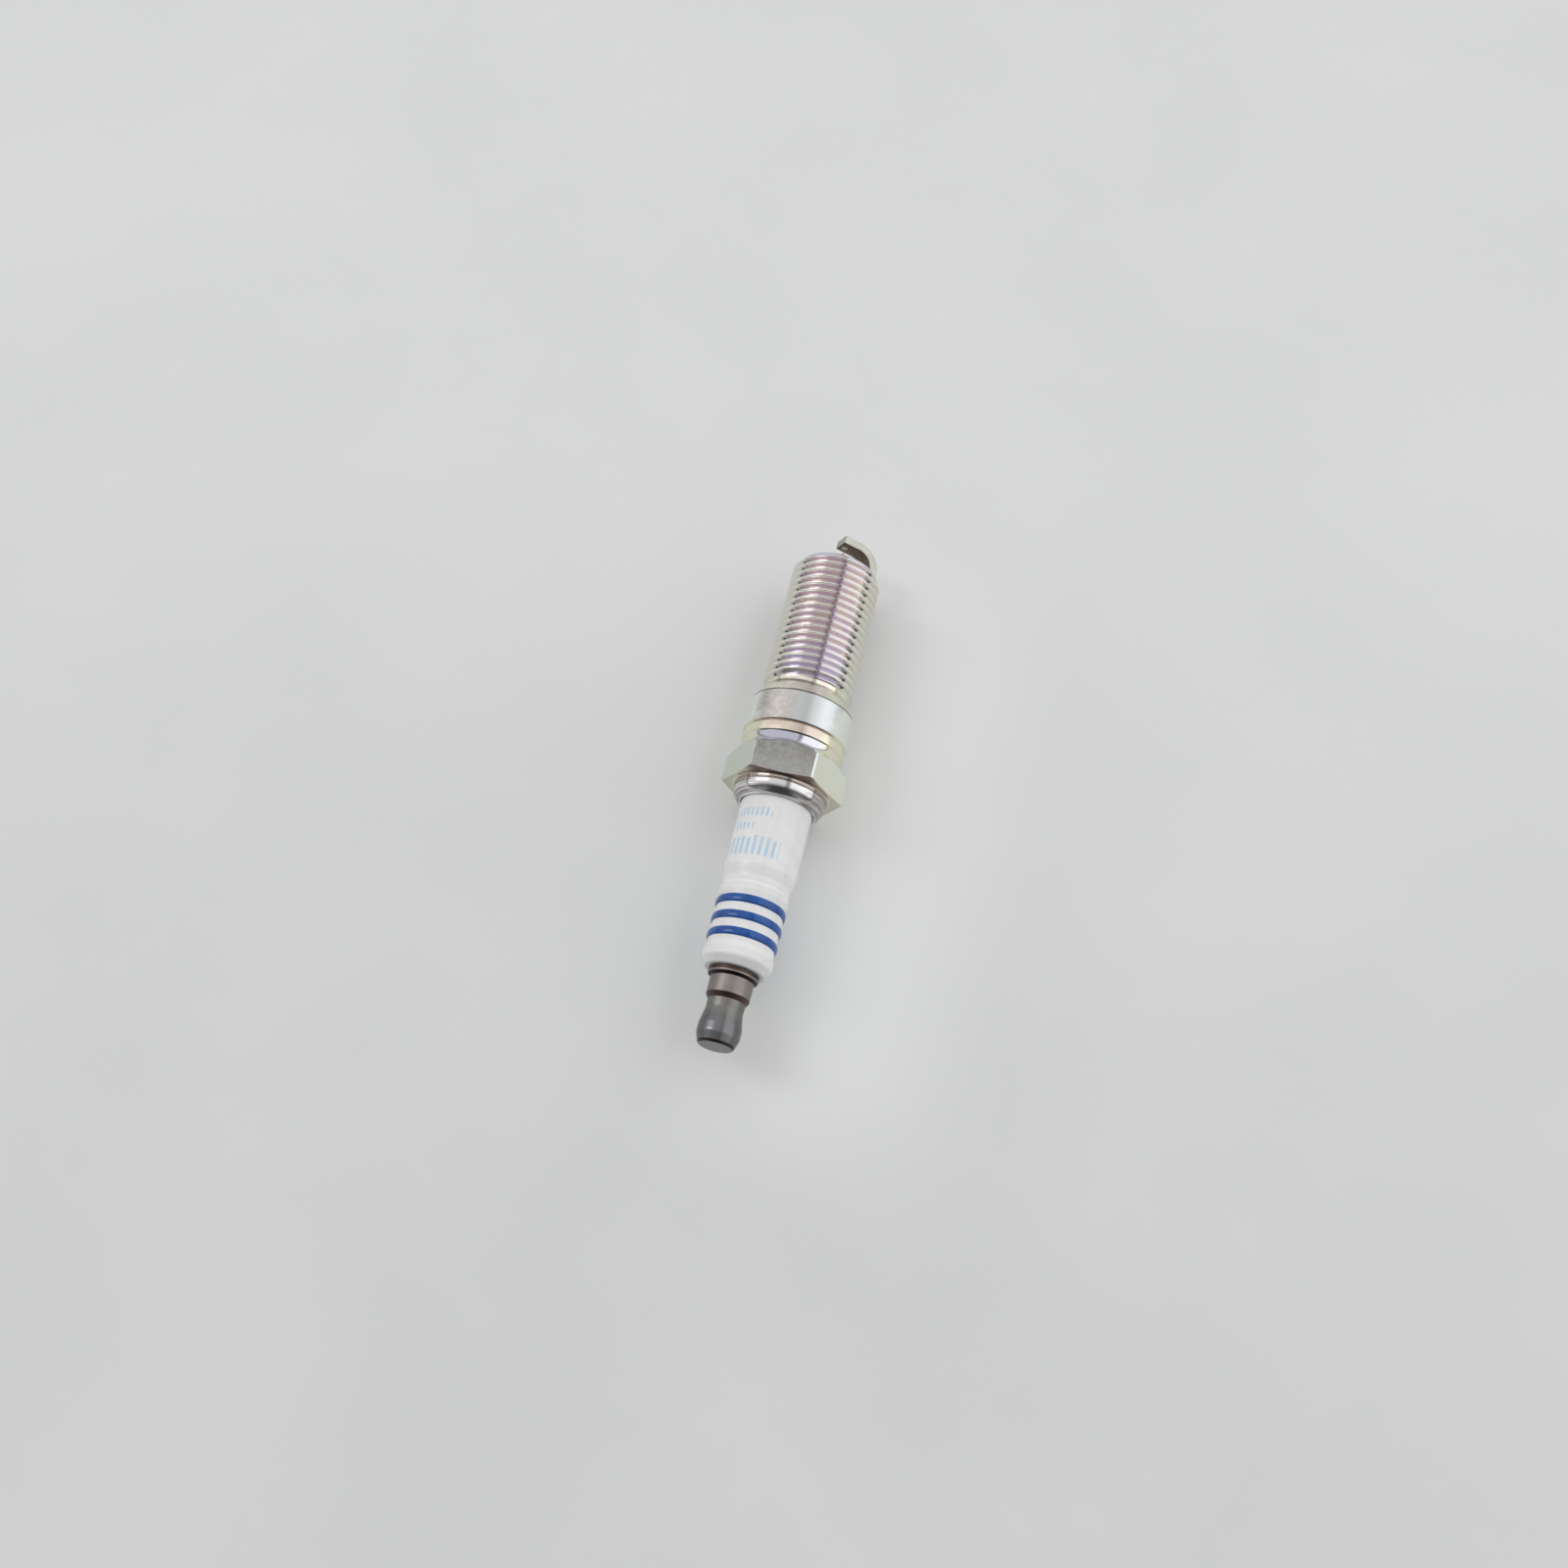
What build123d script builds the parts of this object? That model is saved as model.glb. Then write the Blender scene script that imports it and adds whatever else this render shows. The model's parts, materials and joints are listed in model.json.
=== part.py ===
"""Conical-seat spark plug, M14 x 1.25, 16 mm hexagon, resistor type, with a one-piece terminal.

Units are millimetres. The plug lies on its side: its axis is the Y axis, +Y points to the firing
end, +Z is up, and one flat of the hexagon faces down. The origin is on the axis in the plane of
the conical seat's gauge circle. A "station" is a position along the axis, and every turned piece
is an outline of corners (radius, station) turned about the axis.
"""
import os
from math import cos, radians, sin, tan

from build123d import *

# ---- driving dimensions -------------------------------------------------------------------
THREAD_PITCH = 1.25
THREAD_CREST_R = 6.95
THREAD_DEPTH = 0.613 * THREAD_PITCH
THREAD_ROOT_R = THREAD_CREST_R - THREAD_DEPTH
THREAD_HALF_ANGLE = 30.0
THREAD_ROOT_HALF_WIDTH = THREAD_PITCH / 12
FIRST_CREST_Y = 22.09          # station of the foremost full crest, straight above the axis
THREAD_FRONT_Y = 22.85         # the crests run at full height between these two stations
THREAD_REAR_Y = 2.85
THREAD_TURNS = 17.5
THREAD_GROOVE_MIN_VOLUME = 300  # cubic millimetres that the groove removes, at the least

SHELL_FACE_Y = 24.32           # front face of the shell, from the gauge circle
SHELL_FACE_R = 5.95
SHELL_FACE_CHAMFER = 0.35
PILOT_R = THREAD_ROOT_R - 0.06  # plain lead-in ahead of the thread, just below its root
NECK_R = 6.35                  # plain relief behind the thread

GAUGE_R = 7.4                  # gauge circle of the conical seat
SEAT_HALF_ANGLE = 31.5         # the seat's included angle is 63 degrees
SEAT_REAR_Y = -0.80            # where the seat ends in the collar's chamfer
COLLAR_R = 7.95
COLLAR_FRONT_Y = -1.05
COLLAR_REAR_Y = -5.93
COLLAR_STEP = 0.12             # small chamfers at the collar's rear edge
BAND_R = 7.80                  # thin wall between the collar and the hexagon
BAND_REAR_Y = -7.60
THROAT_R = 7.60                # plain groove between the band and the hexagon
THROAT_FRONT_Y = -7.82
THROAT_REAR_Y = -8.28

HEX_FLATS = 16.0
HEX_CORNER_R = 9.24            # the corners are blunted to this radius
HEX_FRONT_Y = -9.50            # a hollow curve rises from the throat, and meets the flats here
HEX_CORNER_FRONT_Y = -10.35    # and the corners here
HEX_REAR_Y = -14.60
HEX_CORNER_REAR_Y = -14.38
HEX_FACE_R = 7.75              # outside this radius the rear face falls away to the corners

LIP_R = 7.05                   # the crimped lip, where it leaves the hexagon
LIP_START_Y = -15.20
LIP_CROWN = (6.62, -16.55)     # a point half-way round the lip's rolled back
LIP_EDGE_R = 5.73
LIP_INNER_R = 5.48
LIP_END_Y = -17.30             # where the crimped lip meets the insulator

CHAMBER_R = 4.50               # open gap round the insulator's nose
CHAMBER_END_Y = 12.00
LEDGE_R = 3.95                 # the shell's inner ledge, which the insulator bears on
LEDGE_FRONT_Y = 11.20
LEDGE_REAR_Y = 9.90
MIDDLE_BORE_R = 4.90
MIDDLE_BORE_FRONT_Y = 8.95
MIDDLE_BORE_REAR_Y = -2.00
REAR_BORE_R = 6.15
REAR_BORE_FRONT_Y = -3.20
REAR_BORE_REAR_Y = -15.25

NOSE_TIP_Y = 25.90
NOSE_TIP_R = 2.30
MIDDLE_BODY_R = 4.75
FLANGE_R = 6.00
FLANGE_REAR_Y = -9.30
BARREL_R = 5.40
BARREL_TAPER = 0.06            # the barrel is this much fatter in radius at its front, in the shell
BARREL_FRONT_Y = -9.95
BARREL_OPEN_Y = -17.35         # from here to the rear the barrel is an open, plain cylinder
RIB_R = 5.20
RIB_GROOVE_R = 4.97
RIB_WIDTH = 1.28
FIRST_RIB_Y = -33.68           # middle of the first of three coloured ribs
RIB_PITCH = 2.55
RIB_COUNT = 3
INSULATOR_REAR_Y = -43.30

STUD_BORE_R = 1.95
ELECTRODE_BORE_R = 1.30
BORE_STEP_Y = 5.40

LOWER_GLASS_FRONT_Y = 4.20
LOWER_GLASS_REAR_Y = 1.40
RESISTOR_REAR_Y = -8.20
UPPER_GLASS_REAR_Y = -12.60
STUD_TIP_Y = -10.20
STUD_GROOVES = 4
STUD_GROOVE_PITCH = 0.80

ELECTRODE_R = 1.25
COPPER_R = 0.62
TIP_R = 0.30                   # fine wire tip
TIP_END_Y = 27.85
TIP_SUNK_Y = 26.60             # the wire's other end, inside the sheath
SPARK_GAP = 1.00

STRAP_WIDTH = 2.80
STRAP_THICKNESS = 1.32
STRAP_OUTER_R = 5.78           # outer face of the strap's leg, from the axis
STRAP_BEND_R = 3.30            # bend radius of the strap's mid line
STRAP_REACH = 0.85             # how far the free end passes the axis
STRAP_TURN = 28.0              # the leg is turned this far below the horizontal, in degrees
STRAP_EDGE_R = 0.14
PAD_R = 0.50
PAD_HEIGHT = 0.20
PAD_INLET = 0.08               # how deep the pad is let into the strap
PAD_FACE_Y = TIP_END_Y + SPARK_GAP
STRAP_INNER_Y = PAD_FACE_Y + PAD_HEIGHT - PAD_INLET
STRAP_MIDDLE_Y = STRAP_INNER_Y + STRAP_THICKNESS / 2

TERMINAL_FLANGE_R = 3.70
TERMINAL_BODY_R = 3.20
TERMINAL_NECK_R = 2.76
TERMINAL_BULB_R = 3.175        # the 6.35 mm push-on end
TERMINAL_END_Y = -54.50

RING_WIRE_R = 0.32             # the two wire rings that hold the packing
RING_R = 5.80
FRONT_RING_Y = -10.45
REAR_RING_Y = -15.00

SLIP = 0.02                    # clearance between pieces that are pressed or packed together


# ---- helpers ------------------------------------------------------------------------------
def outline(corners):
    """A face from (radius, station) corners; a third value rounds that corner."""
    face = make_face(Polyline(*[(c[0], c[1]) for c in corners], close=True))
    for corner in corners:
        if len(corner) == 3:
            vertex = face.vertices().sort_by_distance((corner[0], corner[1], 0))[0]
            face = fillet(vertex, corner[2])
    return face


def turned(corners):
    """Turn an outline about the plug's axis."""
    return revolve(outline(corners), Axis.Y, 360)


def turned_edges(edges):
    """Turn a closed chain of edges about the plug's axis."""
    return revolve(make_face(Wire(edges)), Axis.Y, 360)


def ring_of_wire(ring_r, station, wire_r):
    """A round wire bent into a closed ring about the plug's axis."""
    return revolve(Pos(ring_r, station, 0) * Circle(wire_r), Axis.Y, 360)


def across_axis(station):
    """A plane across the axis: its x is world +Z, and its z is world +Y."""
    return Plane(origin=(0, station, 0), x_dir=(0, 0, 1), z_dir=(0, 1, 0))


# ---- metal shell --------------------------------------------------------------------------
def seat_radius(station):
    """Radius of the conical seat at a station."""
    return GAUGE_R - station * tan(radians(SEAT_HALF_ANGLE))


def thread_groove():
    """The helical vee that cuts the right-hand thread, from the lead-in to the relief."""
    lift = 0.08  # how far the cutter stands proud of the crests
    outer_r = THREAD_CREST_R + lift
    slope = tan(radians(THREAD_HALF_ANGLE))
    outer_half_width = THREAD_ROOT_HALF_WIDTH + (outer_r - THREAD_ROOT_R) * slope
    first_groove_y = FIRST_CREST_Y + THREAD_PITCH / 2
    start_y = first_groove_y + THREAD_PITCH - THREAD_TURNS * THREAD_PITCH
    path = Helix(THREAD_PITCH, THREAD_TURNS * THREAD_PITCH, THREAD_ROOT_R)
    section = Plane(origin=(0, 0, 0), x_dir=(1, 0, 0), z_dir=(0, -1, 0)) * make_face(Polyline(
        (THREAD_ROOT_R, -THREAD_ROOT_HALF_WIDTH),
        (outer_r, -outer_half_width),
        (outer_r, outer_half_width),
        (THREAD_ROOT_R, THREAD_ROOT_HALF_WIDTH),
        close=True,
    ))
    groove = sweep(section, path=path, is_frenet=True)
    return across_axis(start_y).location * groove


def shell_outside():
    """The turned outside of the shell, with the hexagon and the crimped lip."""
    lead = THREAD_CREST_R - PILOT_R
    runout = THREAD_CREST_R - NECK_R
    seat_front_y = (GAUGE_R - NECK_R) / tan(radians(SEAT_HALF_ANGLE))
    body = turned([
        (0, SHELL_FACE_Y),
        (SHELL_FACE_R, SHELL_FACE_Y),
        (PILOT_R, SHELL_FACE_Y - SHELL_FACE_CHAMFER),
        (PILOT_R, THREAD_FRONT_Y + lead),
        (THREAD_CREST_R, THREAD_FRONT_Y),
        (THREAD_CREST_R, THREAD_REAR_Y),
        (NECK_R, THREAD_REAR_Y - runout),
        (NECK_R, seat_front_y),
        (seat_radius(SEAT_REAR_Y), SEAT_REAR_Y),
        (COLLAR_R, COLLAR_FRONT_Y),
        (COLLAR_R, COLLAR_REAR_Y + COLLAR_STEP),
        (THROAT_R + 0.15, COLLAR_REAR_Y),
        (THROAT_R + 0.10, COLLAR_REAR_Y - COLLAR_STEP),
        (BAND_R, COLLAR_REAR_Y - 3 * COLLAR_STEP),
        (BAND_R, BAND_REAR_Y),
        (THROAT_R, THROAT_FRONT_Y),
        (THROAT_R, HEX_REAR_Y),
        (0, HEX_REAR_Y),
    ])
    return body + hexagon() + crimp_lip()


def hexagon():
    """The 16 mm spanner hexagon, with a hollow turned front and a slightly coned rear face."""
    flat_r = HEX_FLATS / 2
    hexagon_face = RegularPolygon(flat_r, 6, major_radius=False, rotation=30)
    prism = extrude(across_axis(HEX_REAR_Y) * hexagon_face, THROAT_REAR_Y - HEX_REAR_Y)
    throat = (THROAT_R, THROAT_REAR_Y)
    front_corner = (HEX_CORNER_R, HEX_CORNER_FRONT_Y)
    rear_corner = (HEX_CORNER_R, HEX_CORNER_REAR_Y)
    return prism & turned_edges([
        Line((0, THROAT_REAR_Y), throat),
        ThreePointArc(throat, (flat_r, HEX_FRONT_Y), front_corner),
        Line(front_corner, rear_corner),
        Line(rear_corner, (HEX_FACE_R, HEX_REAR_Y)),
        Line((HEX_FACE_R, HEX_REAR_Y), (0, HEX_REAR_Y)),
        Line((0, HEX_REAR_Y), (0, THROAT_REAR_Y)),
    ])


def crimp_lip():
    """The rear edge of the shell, rolled inwards over the packing."""
    inner_edge_y = LIP_END_Y + 0.20
    return turned_edges([
        Line((0, HEX_REAR_Y), (LIP_R, HEX_REAR_Y)),
        Line((LIP_R, HEX_REAR_Y), (LIP_R, LIP_START_Y)),
        ThreePointArc((LIP_R, LIP_START_Y), LIP_CROWN, (LIP_EDGE_R, LIP_END_Y)),
        Line((LIP_EDGE_R, LIP_END_Y), (LIP_INNER_R, inner_edge_y)),
        Line((LIP_INNER_R, inner_edge_y), (0, inner_edge_y)),
        Line((0, inner_edge_y), (0, HEX_REAR_Y)),
    ])


def shell_bore():
    """The stepped bore: open chamber, ledge, middle bore, rear bore and the inside of the lip."""
    front_y = SHELL_FACE_Y + 1
    rear_y = LIP_END_Y - 1
    chamfer = 0.15
    mouth_r = CHAMBER_R + chamfer
    lip_inside_y = REAR_BORE_REAR_Y - 1
    return turned_edges([
        Line((0, front_y), (mouth_r, front_y)),
        Line((mouth_r, front_y), (mouth_r, SHELL_FACE_Y)),
        Line((mouth_r, SHELL_FACE_Y), (CHAMBER_R, SHELL_FACE_Y - chamfer)),
        Line((CHAMBER_R, SHELL_FACE_Y - chamfer), (CHAMBER_R, CHAMBER_END_Y)),
        Line((CHAMBER_R, CHAMBER_END_Y), (LEDGE_R, LEDGE_FRONT_Y)),
        Line((LEDGE_R, LEDGE_FRONT_Y), (LEDGE_R, LEDGE_REAR_Y)),
        Line((LEDGE_R, LEDGE_REAR_Y), (MIDDLE_BORE_R, MIDDLE_BORE_FRONT_Y)),
        Line((MIDDLE_BORE_R, MIDDLE_BORE_FRONT_Y), (MIDDLE_BORE_R, MIDDLE_BORE_REAR_Y)),
        Line((MIDDLE_BORE_R, MIDDLE_BORE_REAR_Y), (REAR_BORE_R, REAR_BORE_FRONT_Y)),
        Line((REAR_BORE_R, REAR_BORE_FRONT_Y), (REAR_BORE_R, REAR_BORE_REAR_Y)),
        ThreePointArc((REAR_BORE_R, REAR_BORE_REAR_Y), (5.98, -15.86), (LIP_INNER_R, lip_inside_y)),
        Line((LIP_INNER_R, lip_inside_y), (LIP_INNER_R, rear_y)),
        Line((LIP_INNER_R, rear_y), (0, rear_y)),
        Line((0, rear_y), (0, front_y)),
    ])


def make_shell():
    """The plated steel shell."""
    blank = shell_outside() - shell_bore()
    shell = blank - thread_groove()
    if blank.volume - shell.volume < THREAD_GROOVE_MIN_VOLUME:
        raise ValueError("the thread was not cut into the shell")
    return shell


# ---- insulator ----------------------------------------------------------------------------
def barrel_radius(station):
    """Radius of the barrel's slightly tapered stretch inside the shell."""
    share = (station - BARREL_OPEN_Y) / (BARREL_FRONT_Y - BARREL_OPEN_Y)
    return BARREL_R + BARREL_TAPER * share


def rib_corners():
    """Corners of the coloured ribs and the grooves between them, from front to rear."""
    corners = []
    shoulder = 0.16
    for i in range(RIB_COUNT):
        middle = FIRST_RIB_Y - i * RIB_PITCH
        front = middle + RIB_WIDTH / 2
        rear = middle - RIB_WIDTH / 2
        corners += [
            (RIB_GROOVE_R, front + shoulder),
            (RIB_R, front - shoulder, 0.15),
            (RIB_R, rear + shoulder, 0.15),
            (RIB_GROOVE_R, rear - shoulder),
        ]
    return corners


def make_insulator():
    """The alumina insulator, with a stepped bore for the stud and the centre electrode."""
    outside = turned([
        (0, NOSE_TIP_Y),
        (NOSE_TIP_R, NOSE_TIP_Y, 0.35),
        (3.30, 12.2, 2.0),
        (3.62, 9.75),
        (MIDDLE_BODY_R, 8.55),
        (MIDDLE_BODY_R, -2.25),
        (FLANGE_R, -3.50),
        (FLANGE_R, FLANGE_REAR_Y, 0.3),
        (barrel_radius(BARREL_FRONT_Y), BARREL_FRONT_Y),
        (BARREL_R, BARREL_OPEN_Y),
        (BARREL_R, -28.15, 1.2),
        (5.02, -30.05, 1.0),
        (5.02, -30.75, 0.25),
        (RIB_R - 0.04, -31.20, 0.2),
        (RIB_R - 0.04, -31.95, 0.2),
    ] + rib_corners() + [
        (RIB_GROOVE_R, -40.10, 0.3),
        (RIB_R - 0.02, -40.75, 0.5),
        (RIB_R - 0.02, -42.10, 0.8),
        (4.30, INSULATOR_REAR_Y, 0.4),
        (0, INSULATOR_REAR_Y),
    ])
    bore = turned([
        (0, NOSE_TIP_Y + 1),
        (ELECTRODE_BORE_R, NOSE_TIP_Y + 1),
        (ELECTRODE_BORE_R, BORE_STEP_Y),
        (STUD_BORE_R, BORE_STEP_Y - 0.6),
        (STUD_BORE_R, INSULATOR_REAR_Y - 1),
        (0, INSULATOR_REAR_Y - 1),
    ])
    return outside - bore


# ---- centre electrode ---------------------------------------------------------------------
def electrode_outside():
    """The outside of the nickel sheath, with its head, its shank and its tapered end."""
    return turned([
        (0, 27.15),
        (0.42, 27.15),
        (1.05, 26.35),
        (ELECTRODE_R, 26.15),
        (ELECTRODE_R, BORE_STEP_Y + 0.02),
        (STUD_BORE_R - SLIP, BORE_STEP_Y - 0.62),
        (STUD_BORE_R - SLIP, LOWER_GLASS_FRONT_Y),
        (1.45, 3.90),
        (1.30, 2.90, 0.3),
        (0, 2.90),
    ])


def copper_core_shape():
    """The copper core, sealed inside the sheath."""
    return turned([
        (0, 24.60),
        (COPPER_R * 0.5, 24.40),
        (COPPER_R, 22.90),
        (COPPER_R, 4.60),
        (0, 4.60),
    ])


def wire_tip_shape():
    """The fine wire tip, sunk into the end of the sheath."""
    return turned([
        (0, TIP_END_Y),
        (TIP_R, TIP_END_Y, 0.03),
        (TIP_R, TIP_SUNK_Y),
        (0, TIP_SUNK_Y),
    ])


def make_centre_electrode():
    """The nickel-alloy sheath, hollow for the copper core and the wire tip."""
    return electrode_outside() - copper_core_shape() - wire_tip_shape()


# ---- stack inside the insulator -----------------------------------------------------------
def make_lower_glass_seal():
    """Conductive glass, fused round the electrode's head."""
    slug = turned([
        (0, LOWER_GLASS_FRONT_Y),
        (STUD_BORE_R - SLIP, LOWER_GLASS_FRONT_Y),
        (STUD_BORE_R - SLIP, LOWER_GLASS_REAR_Y),
        (0, LOWER_GLASS_REAR_Y),
    ])
    return slug - electrode_outside()


def make_resistor():
    """The carbon and glass resistor slug."""
    return turned([
        (0, LOWER_GLASS_REAR_Y),
        (STUD_BORE_R - SLIP, LOWER_GLASS_REAR_Y),
        (STUD_BORE_R - SLIP, RESISTOR_REAR_Y),
        (0, RESISTOR_REAR_Y),
    ])


def stud_shank():
    """The stud's shank, with ring grooves near its tip that key it into the glass."""
    corners = [(0, STUD_TIP_Y), (1.25, STUD_TIP_Y)]
    for i in range(STUD_GROOVES):
        station = STUD_TIP_Y - 0.3 - i * STUD_GROOVE_PITCH
        corners += [
            (1.55, station),
            (1.55, station - STUD_GROOVE_PITCH * 0.35),
            (1.35, station - STUD_GROOVE_PITCH * 0.5),
            (1.35, station - STUD_GROOVE_PITCH * 0.85),
        ]
    corners += [
        (1.60, -13.60),
        (1.60, -24.00),
        (1.85, -24.60),
        (1.85, INSULATOR_REAR_Y),
        (0, INSULATOR_REAR_Y),
    ]
    return turned(corners)


def make_upper_glass_seal():
    """Conductive glass, fused round the stud's grooved tip."""
    slug = turned([
        (0, RESISTOR_REAR_Y),
        (STUD_BORE_R - SLIP, RESISTOR_REAR_Y),
        (STUD_BORE_R - SLIP, UPPER_GLASS_REAR_Y),
        (0, UPPER_GLASS_REAR_Y),
    ])
    return slug - stud_shank()


def make_terminal_stud():
    """The one-piece terminal: flange, body, neck and push-on bulb, with its shank."""
    head = turned([
        (0, INSULATOR_REAR_Y),
        (TERMINAL_FLANGE_R, INSULATOR_REAR_Y, 0.12),
        (TERMINAL_FLANGE_R, -44.23, 0.15),
        (TERMINAL_BODY_R, -44.45, 0.12),
        (TERMINAL_BODY_R, -47.15, 0.12),
        (TERMINAL_NECK_R, -47.85, 0.2),
        (TERMINAL_NECK_R - 0.04, -49.20, 1.5),
        (TERMINAL_BULB_R, -51.55, 1.2),
        (TERMINAL_BULB_R, -52.90, 1.2),
        (2.68, -54.30, 0.3),
        (2.45, TERMINAL_END_Y, 0.05),
        (0, TERMINAL_END_Y),
    ])
    return head + stud_shank()


# ---- packing between the shell and the insulator -------------------------------------------
def make_seat_washer():
    """The soft steel washer between the insulator's shoulder and the shell's ledge."""
    return turned([
        (4.02, 9.76),
        (4.72, 9.06),
        (4.72, 8.64),
        (4.02, 9.38),
    ])


def make_talc_packing():
    """Pressed talc powder in the annular space between the two wire rings."""
    front_y = FRONT_RING_Y - RING_WIRE_R
    rear_y = REAR_RING_Y + RING_WIRE_R
    return turned([
        (barrel_radius(front_y) + SLIP, front_y),
        (REAR_BORE_R - SLIP, front_y),
        (REAR_BORE_R - SLIP, rear_y),
        (barrel_radius(rear_y) + SLIP, rear_y),
    ])


# ---- ground electrode ---------------------------------------------------------------------
def strap_plane():
    """The strap's own plane: its x points out to the leg, and its y is along the plug."""
    turn = radians(STRAP_TURN)
    return Plane(origin=(0, 0, 0), x_dir=(cos(turn), 0, -sin(turn)), z_dir=(sin(turn), 0, cos(turn)))


def strap_outline():
    """The bent strap seen from its side, as a face in the strap's own plane."""
    half = STRAP_THICKNESS / 2
    leg_x = STRAP_OUTER_R - half
    bend_x = leg_x - STRAP_BEND_R
    bend_y = STRAP_MIDDLE_Y - STRAP_BEND_R
    diagonal = sin(radians(45))

    def bend_point(radius):
        return (bend_x + radius * diagonal, bend_y + radius * diagonal)

    inner_x, outer_x = leg_x - half, leg_x + half
    inner_y, outer_y = STRAP_MIDDLE_Y - half, STRAP_MIDDLE_Y + half
    edges = [
        Line((inner_x, SHELL_FACE_Y), (outer_x, SHELL_FACE_Y)),
        Line((outer_x, SHELL_FACE_Y), (outer_x, bend_y)),
        ThreePointArc((outer_x, bend_y), bend_point(STRAP_BEND_R + half), (bend_x, outer_y)),
        Line((bend_x, outer_y), (-STRAP_REACH, outer_y)),
        Line((-STRAP_REACH, outer_y), (-STRAP_REACH, inner_y)),
        Line((-STRAP_REACH, inner_y), (bend_x, inner_y)),
        ThreePointArc((bend_x, inner_y), bend_point(STRAP_BEND_R - half), (inner_x, bend_y)),
        Line((inner_x, bend_y), (inner_x, SHELL_FACE_Y)),
    ]
    return make_face(Wire(edges))


def make_ground_strap():
    """The nickel-alloy strap, welded to the shell's face and bent over the tip."""
    half_width = STRAP_WIDTH / 2
    strap = extrude(strap_outline(), half_width, both=True)
    side_edges = strap.edges().filter_by(lambda e: abs(abs(e.center().Z) - half_width) < SLIP)
    free_edges = side_edges.filter_by(lambda e: e.center().Y > SHELL_FACE_Y + SLIP)
    return strap_plane().location * fillet(free_edges, STRAP_EDGE_R) - pad_shape()


def pad_shape():
    """The precious-metal pad, let into the strap's inner face over the tip."""
    return turned([
        (0, PAD_FACE_Y),
        (PAD_R, PAD_FACE_Y, 0.03),
        (PAD_R, PAD_FACE_Y + PAD_HEIGHT),
        (0, PAD_FACE_Y + PAD_HEIGHT),
    ])


# ---- build --------------------------------------------------------------------------------
def build():
    """Every piece of the plug, by node name."""
    return {
        "metal_shell": make_shell(),
        "insulator": make_insulator(),
        "terminal_stud": make_terminal_stud(),
        "upper_glass_seal": make_upper_glass_seal(),
        "resistor": make_resistor(),
        "lower_glass_seal": make_lower_glass_seal(),
        "centre_electrode": make_centre_electrode(),
        "electrode_copper_core": copper_core_shape(),
        "wire_tip": wire_tip_shape(),
        "ground_strap": make_ground_strap(),
        "ground_pad": pad_shape(),
        "seat_washer": make_seat_washer(),
        "front_wire_ring": ring_of_wire(RING_R, FRONT_RING_Y, RING_WIRE_R),
        "talc_packing": make_talc_packing(),
        "rear_wire_ring": ring_of_wire(RING_R, REAR_RING_Y, RING_WIRE_R),
    }


os.makedirs("parts", exist_ok=True)
for node, shape in build().items():
    shape.label = node
    export_step(shape, f"parts/{node}.step")
    print(f"{node:24s} {shape.volume:9.2f} mm3, solids {len(shape.solids())}, valid {shape.is_valid}")
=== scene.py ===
"""Looks of the spark plug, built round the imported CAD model.

Lengths in the outlines are millimetres and are turned to metres where a mesh is made. A station
is a position along the plug's axis, which is Y; +Y points to the firing end. An outline corner is
(radius, station, rounding). Angles about the axis start straight up, at +Z, and grow towards +X.
"""
import json
from math import atan2, cos, degrees, floor, hypot, pi, radians, sin, sqrt, tan

import bpy
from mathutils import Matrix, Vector


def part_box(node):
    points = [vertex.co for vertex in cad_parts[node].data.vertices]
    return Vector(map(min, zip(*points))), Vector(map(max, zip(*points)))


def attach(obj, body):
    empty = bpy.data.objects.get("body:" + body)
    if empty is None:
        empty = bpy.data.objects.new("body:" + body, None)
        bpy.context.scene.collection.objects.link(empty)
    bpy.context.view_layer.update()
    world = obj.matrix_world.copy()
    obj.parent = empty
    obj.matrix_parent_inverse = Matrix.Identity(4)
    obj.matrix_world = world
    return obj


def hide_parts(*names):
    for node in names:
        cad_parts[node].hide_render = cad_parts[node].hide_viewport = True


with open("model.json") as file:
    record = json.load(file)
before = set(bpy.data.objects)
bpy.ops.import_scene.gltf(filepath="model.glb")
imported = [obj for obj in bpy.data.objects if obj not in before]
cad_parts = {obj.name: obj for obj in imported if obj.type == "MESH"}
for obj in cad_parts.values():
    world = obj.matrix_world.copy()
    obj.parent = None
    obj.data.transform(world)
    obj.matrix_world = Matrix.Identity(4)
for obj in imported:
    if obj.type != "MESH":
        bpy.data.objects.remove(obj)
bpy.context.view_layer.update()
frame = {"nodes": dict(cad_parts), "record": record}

MM = 0.001


# ---- sizes, from the frame and in millimetres ---------------------------------------------
def mount(name):
    """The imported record's mount of that name."""
    return next(m for m in frame["record"]["mounts"] if m["name"] == name)


def extent(node):
    """Lowest and highest corner of a CAD node, in millimetres."""
    low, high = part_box(node)
    return low / MM, high / MM


shell_low, shell_high = extent("metal_shell")
insulator_low, insulator_high = extent("insulator")
terminal_low = extent("terminal_stud")[0]
tip_low, tip_high = extent("wire_tip")
pad_low, pad_high = extent("ground_pad")

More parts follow.
